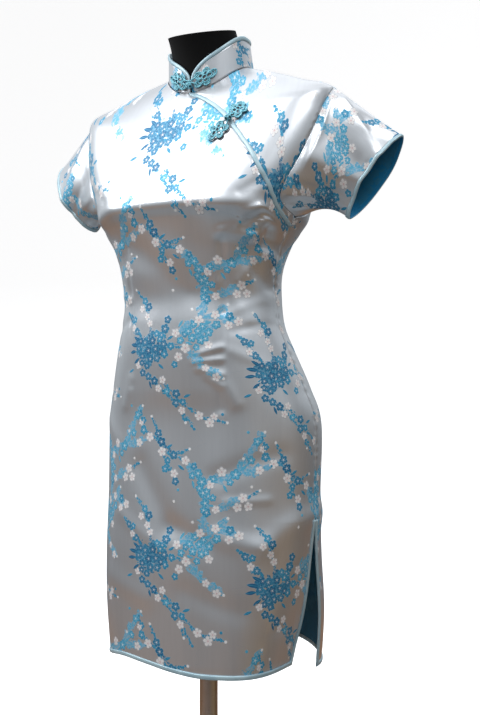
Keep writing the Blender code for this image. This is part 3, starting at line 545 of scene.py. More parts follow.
def layCloth(thing, corners):
    # each face takes its nearest motif and its nearest twig, and its corners carry their places
    # in the axes of both, so that the material can draw them sharply. Each motif also gets a
    # number of its own from 0 to 1, which varies its colour.
    corners = corners * 1000.0
    names = ("motifPlace", "motifKind", "twigPlace")
    places = {name: np.zeros((*corners.shape[:2], 3)) for name in names}
    motifTurn = np.radians(motifs[:, 3])
    for start in range(0, len(corners), 8000):  # a few faces at a time, to save memory
        part = slice(start, start + 8000)
        best, along, across = nearestShape(corners[part], motifs[:, :2], motifTurn, motifReach)
        size = motifs[best, 2][:, None]
        places["motifPlace"][part, :, :2] = np.stack([along / size, across / size], axis=-1)
        kind = np.column_stack([motifs[best, 5:7], best * 0.377 % 1])
        places["motifKind"][part] = kind[:, None]
        best, along, across = nearestShape(corners[part], twigMiddle, twigTurn, twigReach)
        packed = twigChart[best, 4] + 10 * np.round(twigLength[best])
        packed = np.broadcast_to(packed[:, None], along.shape)
        places["twigPlace"][part] = np.stack([along, across, packed], axis=-1)
    for name, values in places.items():
        attribute = thing.data.attributes.new(name, "FLOAT_VECTOR", "CORNER")
        attribute.data.foreach_set("vector", values.astype(np.float32).ravel())
    layer = thing.data.uv_layers.new(name="cloth")
    layer.data.foreach_set("uv", (corners / 1000.0).astype(np.float32).ravel())


print("pattern charted")

# Materials

tones = {  # woven threads
    "deep": (0.008, 0.132, 0.285),
    "mid": (0.022, 0.255, 0.450),
    "sky": (0.100, 0.430, 0.635),
    "mist": (0.300, 0.500, 0.700),
    "white": (0.800, 0.800, 0.800),
    "whiteEdge": (0.460, 0.440, 0.470),
    "heart": (0.620, 0.420, 0.440),
}
satin = {
    "colour": (0.640, 0.665, 0.700),
    "slub": (0.615, 0.640, 0.675),
    "metallic": 0.70,
    "roughness": 0.30,
    "threadRoughness": 0.46,
    "threadDull": 0.70,  # how much less metallic the coloured threads are
    # the reverse of one cloth in two blues: darker for the body, as painted shade in the slits, and
    # lighter for the sleeves, as painted light in the cuffs
    "reverse": (0.008, 0.115, 0.200),
    "litSleeveReverse": (0.012, 0.180, 0.370),
    "reversePattern": (0.06, 0.22, 0.30),
}
finishes = {  # the two colours that change into each other over each surface
    "piping": ((0.340, 0.490, 0.560), (0.420, 0.570, 0.630)),
    "cord": ((0.090, 0.330, 0.430), (0.240, 0.600, 0.700)),
    "formBlack": ((0.0020, 0.0020, 0.0022), (0.0045, 0.0045, 0.0048)),
    "steel": ((0.55, 0.56, 0.58), (0.68, 0.69, 0.70)),
    "paintedCordShade": (0.006, 0.060, 0.090),  # one colour: painted shade on the side of a cord that faces the cloth, so the gaps between the coils look dark
}


def addNode(tree, kind, inputs, **settings):
    # a shader node with its settings and its inputs; gives its outputs
    node = tree.nodes.new("ShaderNode" + kind)
    for name, value in settings.items():
        setattr(node, name, value)
    for key, value in inputs.items():
        feed(node.inputs[key], value)
    return node.outputs


class Value:
    # a number or a colour in a material; arithmetic with it adds Math nodes to the same tree
    def __init__(self, socket):
        self.socket = socket
        self.tree = socket.id_data

    def calc(self, operation, *others):
        # a Math node over this value and the others
        inputs = dict(enumerate((self, *others)))
        return Value(addNode(self.tree, "Math", inputs, operation=operation)[0])

    __add__ = partialmethod(calc, "ADD")
    __sub__ = partialmethod(calc, "SUBTRACT")
    __mul__ = partialmethod(calc, "MULTIPLY")
    __truediv__ = partialmethod(calc, "DIVIDE")
    __mod__ = partialmethod(calc, "FLOORED_MODULO")
    __abs__ = partialmethod(calc, "ABSOLUTE")
    larger = partialmethod(calc, "MAXIMUM")
    smaller = partialmethod(calc, "MINIMUM")
    root = partialmethod(calc, "SQRT")
    sine = partialmethod(calc, "SINE")
    cosine = partialmethod(calc, "COSINE")
    rest = partialmethod(calc, "MULTIPLY_ADD", -1.0, 1.0)  # 1 less the value

    def isNear(self, number):
        # 1 within a tenth of a number, else 0
        return self.calc("COMPARE", number, 0.1)

    def ramp(self, low, high):
        # 0 below low and 1 above high, smooth between; where high lies below low it falls instead
        inputs = {"Value": self, "From Min": min(low, high), "From Max": max(low, high)}
        inputs |= {"To Min": float(low > high), "To Max": float(low < high)}
        return Value(addNode(self.tree, "MapRange", inputs, interpolation_type="SMOOTHSTEP")[0])


def feed(socket, value):
    # links a Value to a socket, or sets a plain number, vector or colour
    if isinstance(value, Value):
        value.tree.links.new(value.socket, socket)
    elif socket.type == "RGBA":
        socket.default_value = (*value, 1.0)
    else:
        socket.default_value = value


def blend(share, first, second):
    # first times 1 less share, plus second times share
    tree = next(value.tree for value in (share, first, second) if isinstance(value, Value))
    return Value(addNode(tree, "Mix", {"Factor": share, 6: first, 7: second}, data_type="RGBA")[2])


def split(vector):
    # the x, y and z of a vector
    return [Value(socket) for socket in addNode(vector.tree, "SeparateXYZ", {0: vector})]


def hypotenuse(x, y):
    # the square root of the sum of two squares
    return (x * x + y * y).root()


def stretch(place, scale):
    # a place times a scale along each axis
    return Value(addNode(place.tree, "Mapping", {"Vector": place, "Scale": scale})[0])


def noise(place, scale, detail=2.0):
    # soft noise from 0 to 1 over a place, finer with a larger scale
    inputs = {"Vector": place, "Scale": scale, "Detail": detail, "Roughness": 0.5}
    return Value(addNode(place.tree, "TexNoise", inputs)["Fac"])


def colourStops(value, stops, interpolation="LINEAR"):
    # a colour ramp through pairs of a position and a colour
    node = value.tree.nodes.new("ShaderNodeValToRGB")
    node.color_ramp.interpolation = interpolation
    marks = node.color_ramp.elements
    while len(marks) < len(stops):
        marks.new(0.5)
    for mark, (position, colour) in zip(marks, stops):
        mark.position = position
        mark.color = (*colour, 1.0)
    feed(node.inputs["Fac"], value)
    return Value(node.outputs["Color"])


def newGroup(name, inputs, outputs):
    # an empty node group, its inputs as Values and its output sockets
    group = bpy.data.node_groups.new(name, "ShaderNodeTree")
    for way, sockets in (("INPUT", inputs), ("OUTPUT", outputs)):
        for label, kind in sockets.items():
            group.interface.new_socket(label, in_out=way, socket_type="NodeSocket" + kind)
    given = group.nodes.new("NodeGroupInput").outputs
    result = group.nodes.new("NodeGroupOutput").inputs
    return group, {label: Value(given[label]) for label in inputs}, result


def useGroup(tree, group, **values):
    # a group placed in a tree with its own values; gives its outputs by name
    outputs = addNode(tree, "Group", values, node_tree=group)
    return {socket.name: Value(socket) for socket in outputs}


def newMaterial(name, roughness, metallic=0.0, **sockets):
    # a Principled material, its tree and its shader's inputs
    material = bpy.data.materials.new(name)
    material.use_nodes = True
    shader = material.node_tree.nodes["Principled BSDF"].inputs
    for label, value in {"Roughness": roughness, "Metallic": metallic, **sockets}.items():
        feed(shader[label.replace("_", " ")], value)
    return material, material.node_tree, shader


def bump(shader, height, distance, strength):
    # a small relief on the shader's normal
    inputs = {"Height": height, "Distance": distance, "Strength": strength}
    feed(shader["Normal"], Value(addNode(height.tree, "Bump", inputs)[0]))


def toneColour(value):
    # a thread's colour by its tone: 0 deep, 1 mid, 2 sky, 3 white
    words = ("deep", "mid", "sky", "white")
    stops = [(n / len(words), tones[word]) for n, word in enumerate(words)]
    return colourStops(value * 0.25 + 0.12, stops, "CONSTANT")


def drawMotif(place, kinds):
    # a five-petalled flower, a pointed leaf or a bud: the angle is folded into one petal, and a
    # petal is a circle's distance from its middle. Gives its mask, its colour and its low rim.
    x, y, _ = split(place)
    kind, tone, chance = split(kinds)
    radius, side = hypotenuse(x, y), abs(y)
    fifth = 2 * math.pi / 5
    folded = y.calc("ARCTAN2", x) % fifth - fifth / 2
    off = radius * folded.sine()
    petal = hypotenuse(radius * folded.cosine() - 0.60, off)
    flower = petal.ramp(0.44, 0.38).larger(radius.ramp(0.40, 0.32))
    rim = petal.ramp(0.24, 0.36) * radius.ramp(0.30, 0.45)
    heart = radius.ramp(0.24, 0.16)
    hairs = abs(off).ramp(0.07, 0.03) * radius.ramp(0.20, 0.26) * radius.ramp(0.56, 0.48)
    leaf = ((x * x).rest() * 0.32 - side).ramp(0.0, 0.04)
    rib = leaf * side.ramp(0.05, 0.02)
    bud = radius.ramp(1.0, 0.8)
    isFlower, isLeaf, isBud = (kind.isNear(n) for n in range(3))
    shapes = isFlower * flower + isLeaf * leaf + isBud * bud

    base = toneColour(tone)
    isPale, isWhite = tone.isNear(2.0), tone.isNear(3.0)
    inside = blend(isWhite, blend(chance * 0.30 + 0.02, base, tones["sky"]), tones["white"])
    edge = blend(isPale, blend(0.55, base, tones["sky"]), tones["mid"])
    outline = blend(isWhite, edge, tones["whiteEdge"])
    middle = blend(isWhite, tones["white"], tones["heart"])
    drawn = inside
    for share, colour in (
        (rim * isFlower * 0.85, outline),
        (hairs * isFlower * 0.45, middle),
        (heart * isFlower * 0.75, middle),
        (isLeaf, base),
        (rib * isLeaf * 0.6, tones["sky"]),
    ):
        drawn = blend(share, drawn, colour)
    return shapes, drawn, rim


def drawTwig(place, cloth):
    # a stem, with a ragged patch of leaf cells along it. Gives its mask and its colour.
    along, across, packed = split(place)  # packed is the tone plus ten times the half length
    tone = packed % 10.0
    half = (packed - tone) * 0.1
    away = abs(across)
    stem = away.ramp(0.55, 0.30) * (half - abs(along)).ramp(-0.3, 0.5)
    inputs = {"Vector": cloth, "Scale": 1000 / blossoms["leafCell"]}
    cells = addNode(cloth.tree, "TexVoronoi", inputs, voronoi_dimensions="2D")
    cell = Value(cells["Distance"]).ramp(0.56, 0.44)
    shade = split(Value(cells["Color"]))[1]
    isSky, isMass = tone.isNear(2.0), tone.isNear(3.0)
    ends = along / half.larger(1.0)
    broad = (isMass * 8.0 + isSky * 3.6 + 3.2) * (ends * ends).rest().larger(0.0).root()
    ragged = noise(cloth, 150.0) * 2.9 - 0.60
    patch = (broad * ragged - away).ramp(-0.2, 0.3)
    filled = cell.larger(isMass * 0.85 + isSky * 0.55).smaller(1.0)
    colour = toneColour(isMass * -3.0 + tone)
    colour = blend(shade * 0.5, colour, blend(isSky, tones["sky"], tones["mist"]))
    return stem.larger(patch * filled), blend(cell.rest() * 0.4, colour, tones["sky"])


def makePlumGroup():
    # the motif over its twig, from their places in their own axes
    group, given, result = newGroup(
        "plumMotif",
        {"Place": "Vector", "Kind": "Vector", "Twig": "Vector", "Cloth": "Vector"},
        {"Mask": "Float", "Colour": "Color", "Height": "Float"},
    )
    shapes, drawn, rim = drawMotif(given["Place"], given["Kind"])
    twig, twigColour = drawTwig(given["Twig"], given["Cloth"])
    mask = shapes.larger(twig)
    feed(result["Mask"], mask)
    feed(result["Colour"], blend(shapes, twigColour, drawn))
    feed(result["Height"], mask - rim * 0.4)
    return group


def makeWeaveGroup():
    # satin floats: long fine threads up the cloth, with a slower slub, from the cloth's flat place
    outputs = {"Thread": "Float", "Slub": "Float"}
    group, given, result = newGroup("satinWeave", {"Place": "Vector"}, outputs)
    feed(result["Thread"], noise(stretch(given["Place"], (3000, 420, 1)), 1.0, 1.0))
    feed(result["Slub"], noise(stretch(given["Place"], (160, 14, 1)), 1.0, 3.0))
    return group


def makeGrainGroup():
    # noise over a place, with its own scale along each axis
    inputs = {"Place": "Vector", "Scale": "Vector", "Detail": "Float"}
    group, given, result = newGroup("fineGrain", inputs, {"Grain": "Float"})
    feed(result["Grain"], noise(stretch(given["Place"], given["Scale"]), 1.0, given["Detail"]))
    return group


plumGroup = makePlumGroup()
weaveGroup = makeWeaveGroup()
grainGroup = makeGrainGroup()


def grain(tree, scale, detail=2.0):
    # the fine grain in the object's own coordinates
    place = Value(addNode(tree, "TexCoord", {})["Object"])
    return useGroup(tree, grainGroup, Place=place, Scale=scale, Detail=detail)["Grain"]


def clothPattern(tree):
    # the motif and the weave, read from the places that a sheet carries
    flat = Value(addNode(tree, "UVMap", {}, uv_map="cloth")[0])
    places = {}
    for label, name in (("Place", "motifPlace"), ("Kind", "motifKind"), ("Twig", "twigPlace")):
        carried = addNode(tree, "Attribute", {}, attribute_type="GEOMETRY", attribute_name=name)
        places[label] = Value(carried["Vector"])
    return useGroup(tree, plumGroup, Cloth=flat, **places), useGroup(tree, weaveGroup, Place=flat)


def makeBrocade():
    # satin, with coloured threads by the motif's mask, which shine less than the ground does
    material, tree, shader = newMaterial("silverBrocade", satin["roughness"], satin["metallic"])
    motif, weave = clothPattern(tree)
    mask = motif["Mask"]
    ground = blend(weave["Slub"].ramp(0.35, 0.75), satin["colour"], satin["slub"])
    feed(shader["Base Color"], blend(mask, ground, motif["Colour"]))
    feed(shader["Metallic"], (mask * -satin["threadDull"] + 1.0) * satin["metallic"])
    rough = mask * (satin["threadRoughness"] - satin["roughness"]) + satin["roughness"]
    feed(shader["Roughness"], rough + weave["Slub"] * 0.06 - 0.03)
    bump(shader, weave["Thread"] * 0.15 + motif["Height"], 0.00012, 0.5)
    return material


def makeReverse(name, colour):
    # the reverse of the cloth, where the coloured threads float and the motif shows faintly
    material, tree, shader = newMaterial(name, 0.42, 0.15)
    motif, weave = clothPattern(tree)
    ground = blend(weave["Slub"], colour, [c * 1.5 for c in colour])
    feed(shader["Base Color"], blend(motif["Mask"] * 0.40, ground, satin["reversePattern"]))
    bump(shader, weave["Thread"], 0.0001, 0.4)
    return material


def makeReverseEdge(colour):
    # the bare reverse, turned in at the cuffs, in the sleeves' lighter blue of painted light
    material, tree, shader = newMaterial("reverseEdge", 0.42, 0.15)
    slub = grain(tree, (120, 120, 900))
    feed(shader["Base Color"], blend(slub, colour, [c * 1.5 for c in colour]))
    bump(shader, slub, 0.0001, 0.4)
    return material


def makePiping():
    # bias satin: slow changes of blue, with fine streaks in relief
    material, tree, shader = newMaterial("bluePiping", 0.34, 0.20)
    broad = grain(tree, (40, 40, 40)).ramp(0.35, 0.65)
    feed(shader["Base Color"], blend(broad, *finishes["piping"]))
    bump(shader, grain(tree, (900, 900, 900)), 0.0001, 0.4)
    return material


def makeCord():
    # strands by the sine of the way along plus twice the way round; painted shade towards the cloth
    material, tree, shader = newMaterial("frogCord", 0.36, 0.10)
    u, v, _ = split(Value(addNode(tree, "UVMap", {}, uv_map="cord")[0]))
    strand = ((v * 2.0 + u) * (2 * math.pi)).sine().ramp(-0.6, 0.8)
    crown = (v * (2 * math.pi)).sine().ramp(-0.1, 0.75)  # 1 on the side away from the cloth, 0 where the painted shade falls
    lit = blend(strand, *finishes["cord"])
    feed(shader["Base Color"], blend(crown, finishes["paintedCordShade"], lit))
    bump(shader, strand, 0.0002, 0.5)
    return material


def makeFormBlack():
    # black jersey with a fine speck
    material, tree, shader = newMaterial("formBlack", 0.75, Specular_IOR_Level=0.15)
    speck = grain(tree, (700, 700, 700), 3.0)
    feed(shader["Base Color"], blend(speck, *finishes["formBlack"]))
    bump(shader, speck, 0.0001, 0.3)
    return material


def makeSteel():
    # fine brush marks on end, and slow stains
    material, tree, shader = newMaterial("brushedSteel", 0.30, 1.0)
    brush = grain(tree, (60, 60, 2500), 3.0)
    wear = grain(tree, (30, 30, 30), 4.0)
    feed(shader["Base Color"], blend(wear, *finishes["steel"]))
    feed(shader["Roughness"], brush * 0.18 + 0.22)
    bump(shader, brush, 0.00005, 0.3)
    return material


brocade = makeBrocade()
# the body's reverse darker as painted shade, the sleeves' and cuffs' lighter as painted light, though all
# are one cloth
reverse = makeReverse("shadedReverse", satin["reverse"])
litSleeveReverse = makeReverse("litSleeveReverse", satin["litSleeveReverse"])
reverseEdge = makeReverseEdge(satin["litSleeveReverse"])
piping = makePiping()
cordSatin = makeCord()
formBlack = makeFormBlack()
steel = makeSteel()
print("materials made")

# Panels: the cloth of the body, both layers, tucked a little under the bindings

panelMaking = {
    "columns": {"front": 146, "back": 146, "under": 34},
    "edge": 0.0009,  # how far the cloth drops at a bound or sewn edge
    "edgeReach": 0.0040,
    "pucker": 0.0005,
    "puckerPitch": 0.0125,
    "tuck": 0.0016,  # cloth hidden under a binding
    "hemDrop": 0.0006,
    "bustFrom": 0.57,  # up the flat cloth, where it starts to ease over the bust
    "bustRise": 0.27,
    "bustEase": (0.016, 0.050),  # across and up
    "origin": {"front": (0.034, -0.142), "under": (0.026, -0.102), "back": (-0.052, -0.061)},
}


def sideEdge(rows, part):
    # the angle where a panel ends: at its seam, or under the slit's binding below that
    sign = -1 if part == "front" else 1
    bound = dress["bindWidth"] + 2 * dress["seamGap"] - panelMaking["tuck"]
    distance = np.where(rows < dress["slitRow"], bound, dress["seamGap"] / 2 + 0.0001)
    return armholeAngle(rows, part) + sign * seamInset(rows, distance)


def clothRows(low, high, *extra):
    # even rows between two limits, with more of them where an edge turns
    rows = np.concatenate([evenRows(low, high, dress["step"]), *extra])
    return np.unique(np.round(rows[(rows >= low) & (rows <= high)], 5))


def edgeEase(points):
    # how near each point lies to the panel's side edges: 1 at the edge, 0 past the reach
    away = [np.linalg.norm(points - points[:, [column]], axis=-1) for column in (0, -1)]
    return np.exp(-((np.minimum(*away) / panelMaking["edgeReach"]) ** 2))


def clothFlat(points, angles, rows, part, origin):
    # the flat place of each point: the length along its row from the middle line, and the
    # middle line's length up from the hem
    centre = 0.0 if part == "front" else math.pi
    across = travelled(points, 1)
    if part == "front" and angles[:, 0].min() > 0:  # a piece that begins beside the middle line
        steps = np.linspace(0, 1, 12)[:-1]
        lead = panelPoints(angles[:, :1] * steps, rows[:, None] + 0 * steps, part)
        across += travelled(np.concatenate([lead, points[:, :1]], axis=1), 1)[:, -1:]
    else:
        middle = [np.interp(centre, *row) for row in zip(angles, across)]
        across -= np.array(middle)[:, None]
    dense = np.linspace(0, dress["neckRow"], 1200)
    climb = travelled(panelPoints(np.full(1200, centre), dense, part))
    up = np.interp(rows, dense, climb)[:, None] + 0 * across
    if part == "front":  # the cloth is eased and leans a little over the bust
        bust = np.clip((up - panelMaking["bustFrom"]) / panelMaking["bustRise"], 0, 1)
        bust = bust**2 * (3 - 2 * bust)
        across = across - panelMaking["bustEase"][0] * bust
        up = up - panelMaking["bustEase"][1] * bust
    return np.stack([across, up], axis=-1) + origin


def panel(name, nodes, rows, low, high, part, key):
    # points between two angles at each row; the edges drop and pucker in two mixed sine waves
    columns = panelMaking["columns"][key]
    share = np.linspace(0, 1, columns)
    share = share - 0.35 * np.sin(2 * math.pi * share) / (2 * math.pi)  # closer at both edges
    angles = low[:, None] + (high - low)[:, None] * share
    points, normals = panelSurface(angles, rows[:, None] + 0 * angles, part)
    near = edgeEase(points)
    climb = points[..., 2] / panelMaking["puckerPitch"]
    wave = np.sin(2 * math.pi * climb + 1.7 * np.sin(0.7 * climb)) * np.sin(0.9 * climb + 0.5)
    drop = panelMaking["edge"] * near**2 + panelMaking["pucker"] * near * (1 - near) * 4 * wave
    hemNear = np.exp(-(((points[..., 2] - dress["hem"] - 0.006) / 0.004) ** 2))
    outer = points - normals * (drop + panelMaking["hemDrop"] * hemNear)[..., None]
    inner = outer - normals * dress["cloth"]
    cloth = clothFlat(points, angles, rows, part, panelMaking["origin"][key])
    thing = shell(name, outer, inner, (brocade, reverse), cloth=cloth)
    return dressed(thing, nodes)


firstRise = sectionRows[1, 0]  # the height from the hem to the next section
hemRow = dress["bindWidth"] / firstRise
hemTuckRow = (dress["bindWidth"] - panelMaking["tuck"]) / firstRise
slitTop = dress["slitRow"]


def makePanels():
    # the flap stops at the placket, and the under flap begins there; the back goes all round
    turnRows = [row + side * 0.004 for row in (slitTop, placketEndRow) for side in (-1, 1)]
    rows = clothRows(hemTuckRow, dress["neckRow"] - 0.02, turnRows)
    right = sideEdge(rows, "front")
    tuck = dress["bindWidth"] / 2 + dress["seamGap"] - panelMaking["tuck"]
    trim = edgeShift(placketAngle, rows, tuck)
    left = np.where(rows < placketEndRow, right, np.minimum(right, placketAngle(rows) - trim))
    frontFlap = panel("frontFlap", ("front_flap",), rows, -right, left, "front", "front")
    upper = rows[rows > placketEndRow + 0.25]
    low = placketAngle(upper) + edgeShift(placketAngle, upper, tuck)
    side = sideEdge(upper, "front")
    underFlap = panel("underFlap", ("under_flap",), upper, low, side, "front", "under")
    edge = sideEdge(rows, "back")
    backPanel = panel("backPanel", ("back",), rows, edge, 2 * math.pi - edge, "back", "back")
    return frontFlap, underFlap, backPanel


frontFlap, underFlap, backPanel = makePanels()
print("panels laid")

# Bindings: bias strips rolled over the raw edges

binding = {
    "across": 11,  # points across a strip
    "columns": 150,  # points along a hem
    "wall": 0.0026,
    "lift": 0.0011,  # how far the middle of a strip stands out
    "edge": 0.0003,
}


def bindingStrip(name, nodes, points, normals, closed=False, wall=None, inside=None):
    # points run across the strip on the first axis; the strip is crowned by a half ellipse
    across = np.linspace(-1, 1, len(points))[:, None]
    crown = binding["edge"] + binding["lift"] * np.sqrt(np.clip(1 - across**2, 0, 1))
    outer = points + normals * crown[..., None]
    inner = points - normals * ((wall or binding["wall"]) - binding["lift"])
    thing = shell(name, outer, inner, (piping, inside or piping), closed=closed)
    return dressed(thing, nodes)


def placketBinding():
    # a strip of one width along the placket's edge, kept clear of the armhole
    rows = clothRows(placketEndRow + 0.01, dress["neckRow"] - 0.05)
    half = edgeShift(placketAngle, rows, dress["bindWidth"] / 2)
    limit = armholeAngle(rows, "front") - seamInset(rows, dress["seamGap"])
    low = placketAngle(rows) - half
    high = np.minimum(placketAngle(rows) + half, limit)
    low = np.minimum(low, high - 0.002)
    angles = low[:, None] + (high - low)[:, None] * np.linspace(0, 1, binding["across"])
    points, normals = panelSurface(angles, rows[:, None] + 0 * angles, "front")
    points, normals = points.transpose(1, 0, 2)[::-1], normals.transpose(1, 0, 2)[::-1]
    return bindingStrip("placketBinding", ("placket_binding",), points, normals)


def hemBinding(name, node, low, high, part):
    # down one slit edge, along the hem and up the other, mitred at the corners
    slitRows = clothRows(hemRow * 2, slitTop - 0.004)[::-1]
    columns = binding["columns"]
    paths = []
    free, sewn = dress["seamGap"] / 2 + 0.0001, dress["bindWidth"] + dress["seamGap"]
    for distance, row in ((free, 0.0), (sewn, hemRow)):
        rows = np.concatenate([slitRows, np.full(columns, row), slitRows[::-1]])
        inset = seamInset(rows, distance)
        share = np.concatenate([slitRows * 0, np.linspace(0, 1, columns), slitRows * 0 + 1])
        paths.append((low + inset + (high - low - 2 * inset) * share, rows))
    across = np.linspace(0, 1, binding["across"])[:, None]
    angles = paths[0][0] + (paths[1][0] - paths[0][0]) * across
    rows = paths[0][1] + (paths[1][1] - paths[0][1]) * across
    points, normals = panelSurface(angles, rows, part)
    return bindingStrip(name, (node,), points, normals)


bindings = [
    placketBinding(),
    hemBinding("hemBindingFront", "hem_binding_front", -math.pi / 2, math.pi / 2, "front"),
    hemBinding("hemBindingBack", "hem_binding_back", math.pi / 2, 1.5 * math.pi, "back"),
]
print("bindings made")

# Sleeves: from the armhole to the cuff, with their folds

sleeve = {
    "arch": 0.045,  # pull that arches the underarm
    "around": 132,
    "along": 40,
    "cuffs": (  # side, middle of the cuff above the hem, half height, depth, share of it at the back
        (1, (0.2370, 0.0260, 0.6515), (0.0340, 0.0100, 0.0540), (0.0040, 0.0185, -0.0030), 1.08),
        (-1, (0.2355, 0.0280, 0.6600), (0.0340, 0.0100, 0.0530), (-0.0040, 0.0440, 0.0060), 0.60),
    ),
    "origin": {"Left": (0.150, -0.026), "Right": (-0.020, 0.085)},
    "leave": 0.9,  # pull along the sleeve at the armhole and at the cuff
    "arrive": 0.5,
    "straight": 0.04,  # pull square to the cuff
    "tuck": 0.0012,  # cloth hidden under the binding
    "length": 0.075,  # about, from the armhole to the cuff
    "edge": 0.0008,  # how far the cloth drops at the armhole
    "edgeReach": 0.004,
    "point": 1.30,  # 1 is a round cuff; above it the top and bottom come to a crease
    "folds": (  # side, share and degrees from the top by the front at both ends, width, height
        (1, 0.1, 20, 0.85, 74, 15, 0.0034), (1, 0.05, 92, 1, 104, 14, 0.0036),
        (1, 0.1, 62, 0.7, 88, 16, -0.003), (1, 0.2, 142, 0.9, 138, 14, -0.0028),
        (1, 0.1, 262, 0.9, 290, 18, 0.0032), (-1, 0.1, 52, 0.9, 96, 14, 0.0032),
        (-1, 0.2, 88, 1, 124, 15, -0.0028), (-1, 0.1, 136, 0.9, 150, 13, 0.0028),
        (-1, 0.15, 268, 0.9, 300, 17, 0.0032),
        # the crisp crests, and the wrinkles under the arm
        (1, 0.02, 14, 0.95, 70, 6, 0.0016), (1, 0.02, 90, 1, 101, 6, 0.0018),
        (1, 0.01, 5, 0.15, 88, 10, 0.0015), (1, 0.02, 116, 0.6, 126, 5, -0.0016),
        (1, 0.02, 130, 0.55, 146, 5, 0.0016), (1, 0.02, 148, 0.5, 160, 5, -0.0014),
        (1, 0.02, 166, 0.55, 176, 5, 0.0014), (1, 0.02, 196, 0.6, 190, 6, 0.0014),
        (1, 0.4, 50, 0.98, 40, 7, 0.0012), (-1, 0.02, 48, 0.95, 92, 6, 0.0014),
        (-1, 0.02, 84, 1, 118, 6, -0.0016), (-1, 0.02, 108, 0.8, 126, 5, 0.0015),
        (-1, 0.02, 132, 0.6, 150, 5, -0.0014), (-1, 0.02, 160, 0.6, 170, 5, 0.0014),
    ),
}


def climbRows(steps):
    # rows up an armhole, closer together where it turns
    share = np.interp(np.linspace(0, 1, steps + 1), climbSteps, climbShare)
    return dress["underarmRow"] + (dress["tipRow"] - dress["underarmRow"]) * share


def armholeRing(side, around):
    # points and normals just outside an armhole: shoulder tip, front, underarm, back
    rows = climbRows(around // 2)
    rows[0] += 0.03
    rows[-1] -= 0.03
    front = armholeAngle(rows, "front") + seamInset(rows, dress["seamGap"])
    back = armholeAngle(rows, "back") - seamInset(rows, dress["seamGap"])
    front[[0, -1]] = math.pi / 2
    ahead = panelSurface(side * front[::-1], rows[::-1], "front")
    behind = panelSurface(side * back, rows, "back")
    points = np.concatenate([ahead[0], behind[0][1:-1]]) * (side, 1, 1)
    return points, np.concatenate([ahead[1], behind[1][1:-1]]) * (side, 1, 1)


def sleeveFoldHeight(side, share, turn):
    # height times a bell curve of the degrees off each fold's line, faded in and out along it
    height = np.zeros(np.broadcast(share, turn).shape)
    for which, start, startTurn, end, endTurn, width, rise in sleeve["folds"]:
        if which == side:
            along = np.clip((share - start) / (end - start), 0, 1)
            off = (turn - startTurn - (endTurn - startTurn) * along) / width
            ends = np.clip(share / (start + 0.1), 0, 1) * np.clip((1.3 - share) / (1.3 - end), 0, 1)
            height += rise * ends * np.exp(-(off**2))
    return height


def sleeveSurface(side, middle, tall, deep, backShare, around):
    # a curve from each armhole point to its cuff point, leaving and arriving along the sleeve
    start, startNormals = armholeRing(side, around)
    turn = onceRound(len(start))[:, None]
    tall, deep = np.array(tall), np.array(deep)
    centre = np.array(middle) + (0.0, 0.0, dress["hem"])
    lens = np.sin(turn) * np.abs(np.sin(turn)) ** (sleeve["point"] - 1)
    end = centre + np.cos(turn) * tall - np.where(lens > 0, lens, lens * backShare) * deep
    under = np.clip(-np.cos(turn), 0, 1) ** 2
    arch = under * (0.0, 0.0, sleeve["arch"])
    aim = unit(np.cross(deep, tall))
    leave = (end - start) * sleeve["leave"] + arch
    arrive = (end - start) * sleeve["arrive"] + aim * sleeve["straight"] - arch

    def points(share):
        # the curve at a share of its length, with the folds pushed straight out of its ring
        part = share[..., None]
        curve = (
            start * (1 + 2 * part) * (1 - part) ** 2
            + leave * part * (1 - part) ** 2
            + end * part**2 * (3 - 2 * part)
            + arrive * part**2 * (part - 1)
        )
        outward = unit(curve - curve.mean(axis=-2, keepdims=True))
        folds = sleeveFoldHeight(side, share, np.degrees(turn[:, 0]))
        return (curve + outward * folds[..., None]) * (side, 1, 1)

    return points, startNormals * (side, 1, 1), np.linalg.norm(end - start, axis=1)


def gridNormals(points, closed):
    # the cross product of a grid's steps across and along
    wrapped = np.concatenate([points[:, -1:], points, points[:, :1]], axis=1) if closed else points
    across = np.gradient(wrapped, axis=1)
    across = across[:, 1:-1] if closed else across
    return unit(np.cross(across, np.gradient(points, axis=0)))


def sleeveFlat(ring, origin):
    # the flat place: steps across with their part along the sleeve taken out, summed from the
    # middle of the top, and the length up from the cuff
    down = unit(np.gradient(ring, axis=0))[:, 1:]
    steps = np.diff(ring, axis=1)
    steps = np.linalg.norm(steps - (steps * down).sum(-1, keepdims=True) * down, axis=-1)
    across = np.concatenate([0 * steps[:, :1], np.cumsum(steps, axis=1)], axis=1)
    across = across[:, [steps.shape[1] // 2]] - across
    return np.stack([across, travelled(ring[::-1])[::-1]], axis=-1) + origin


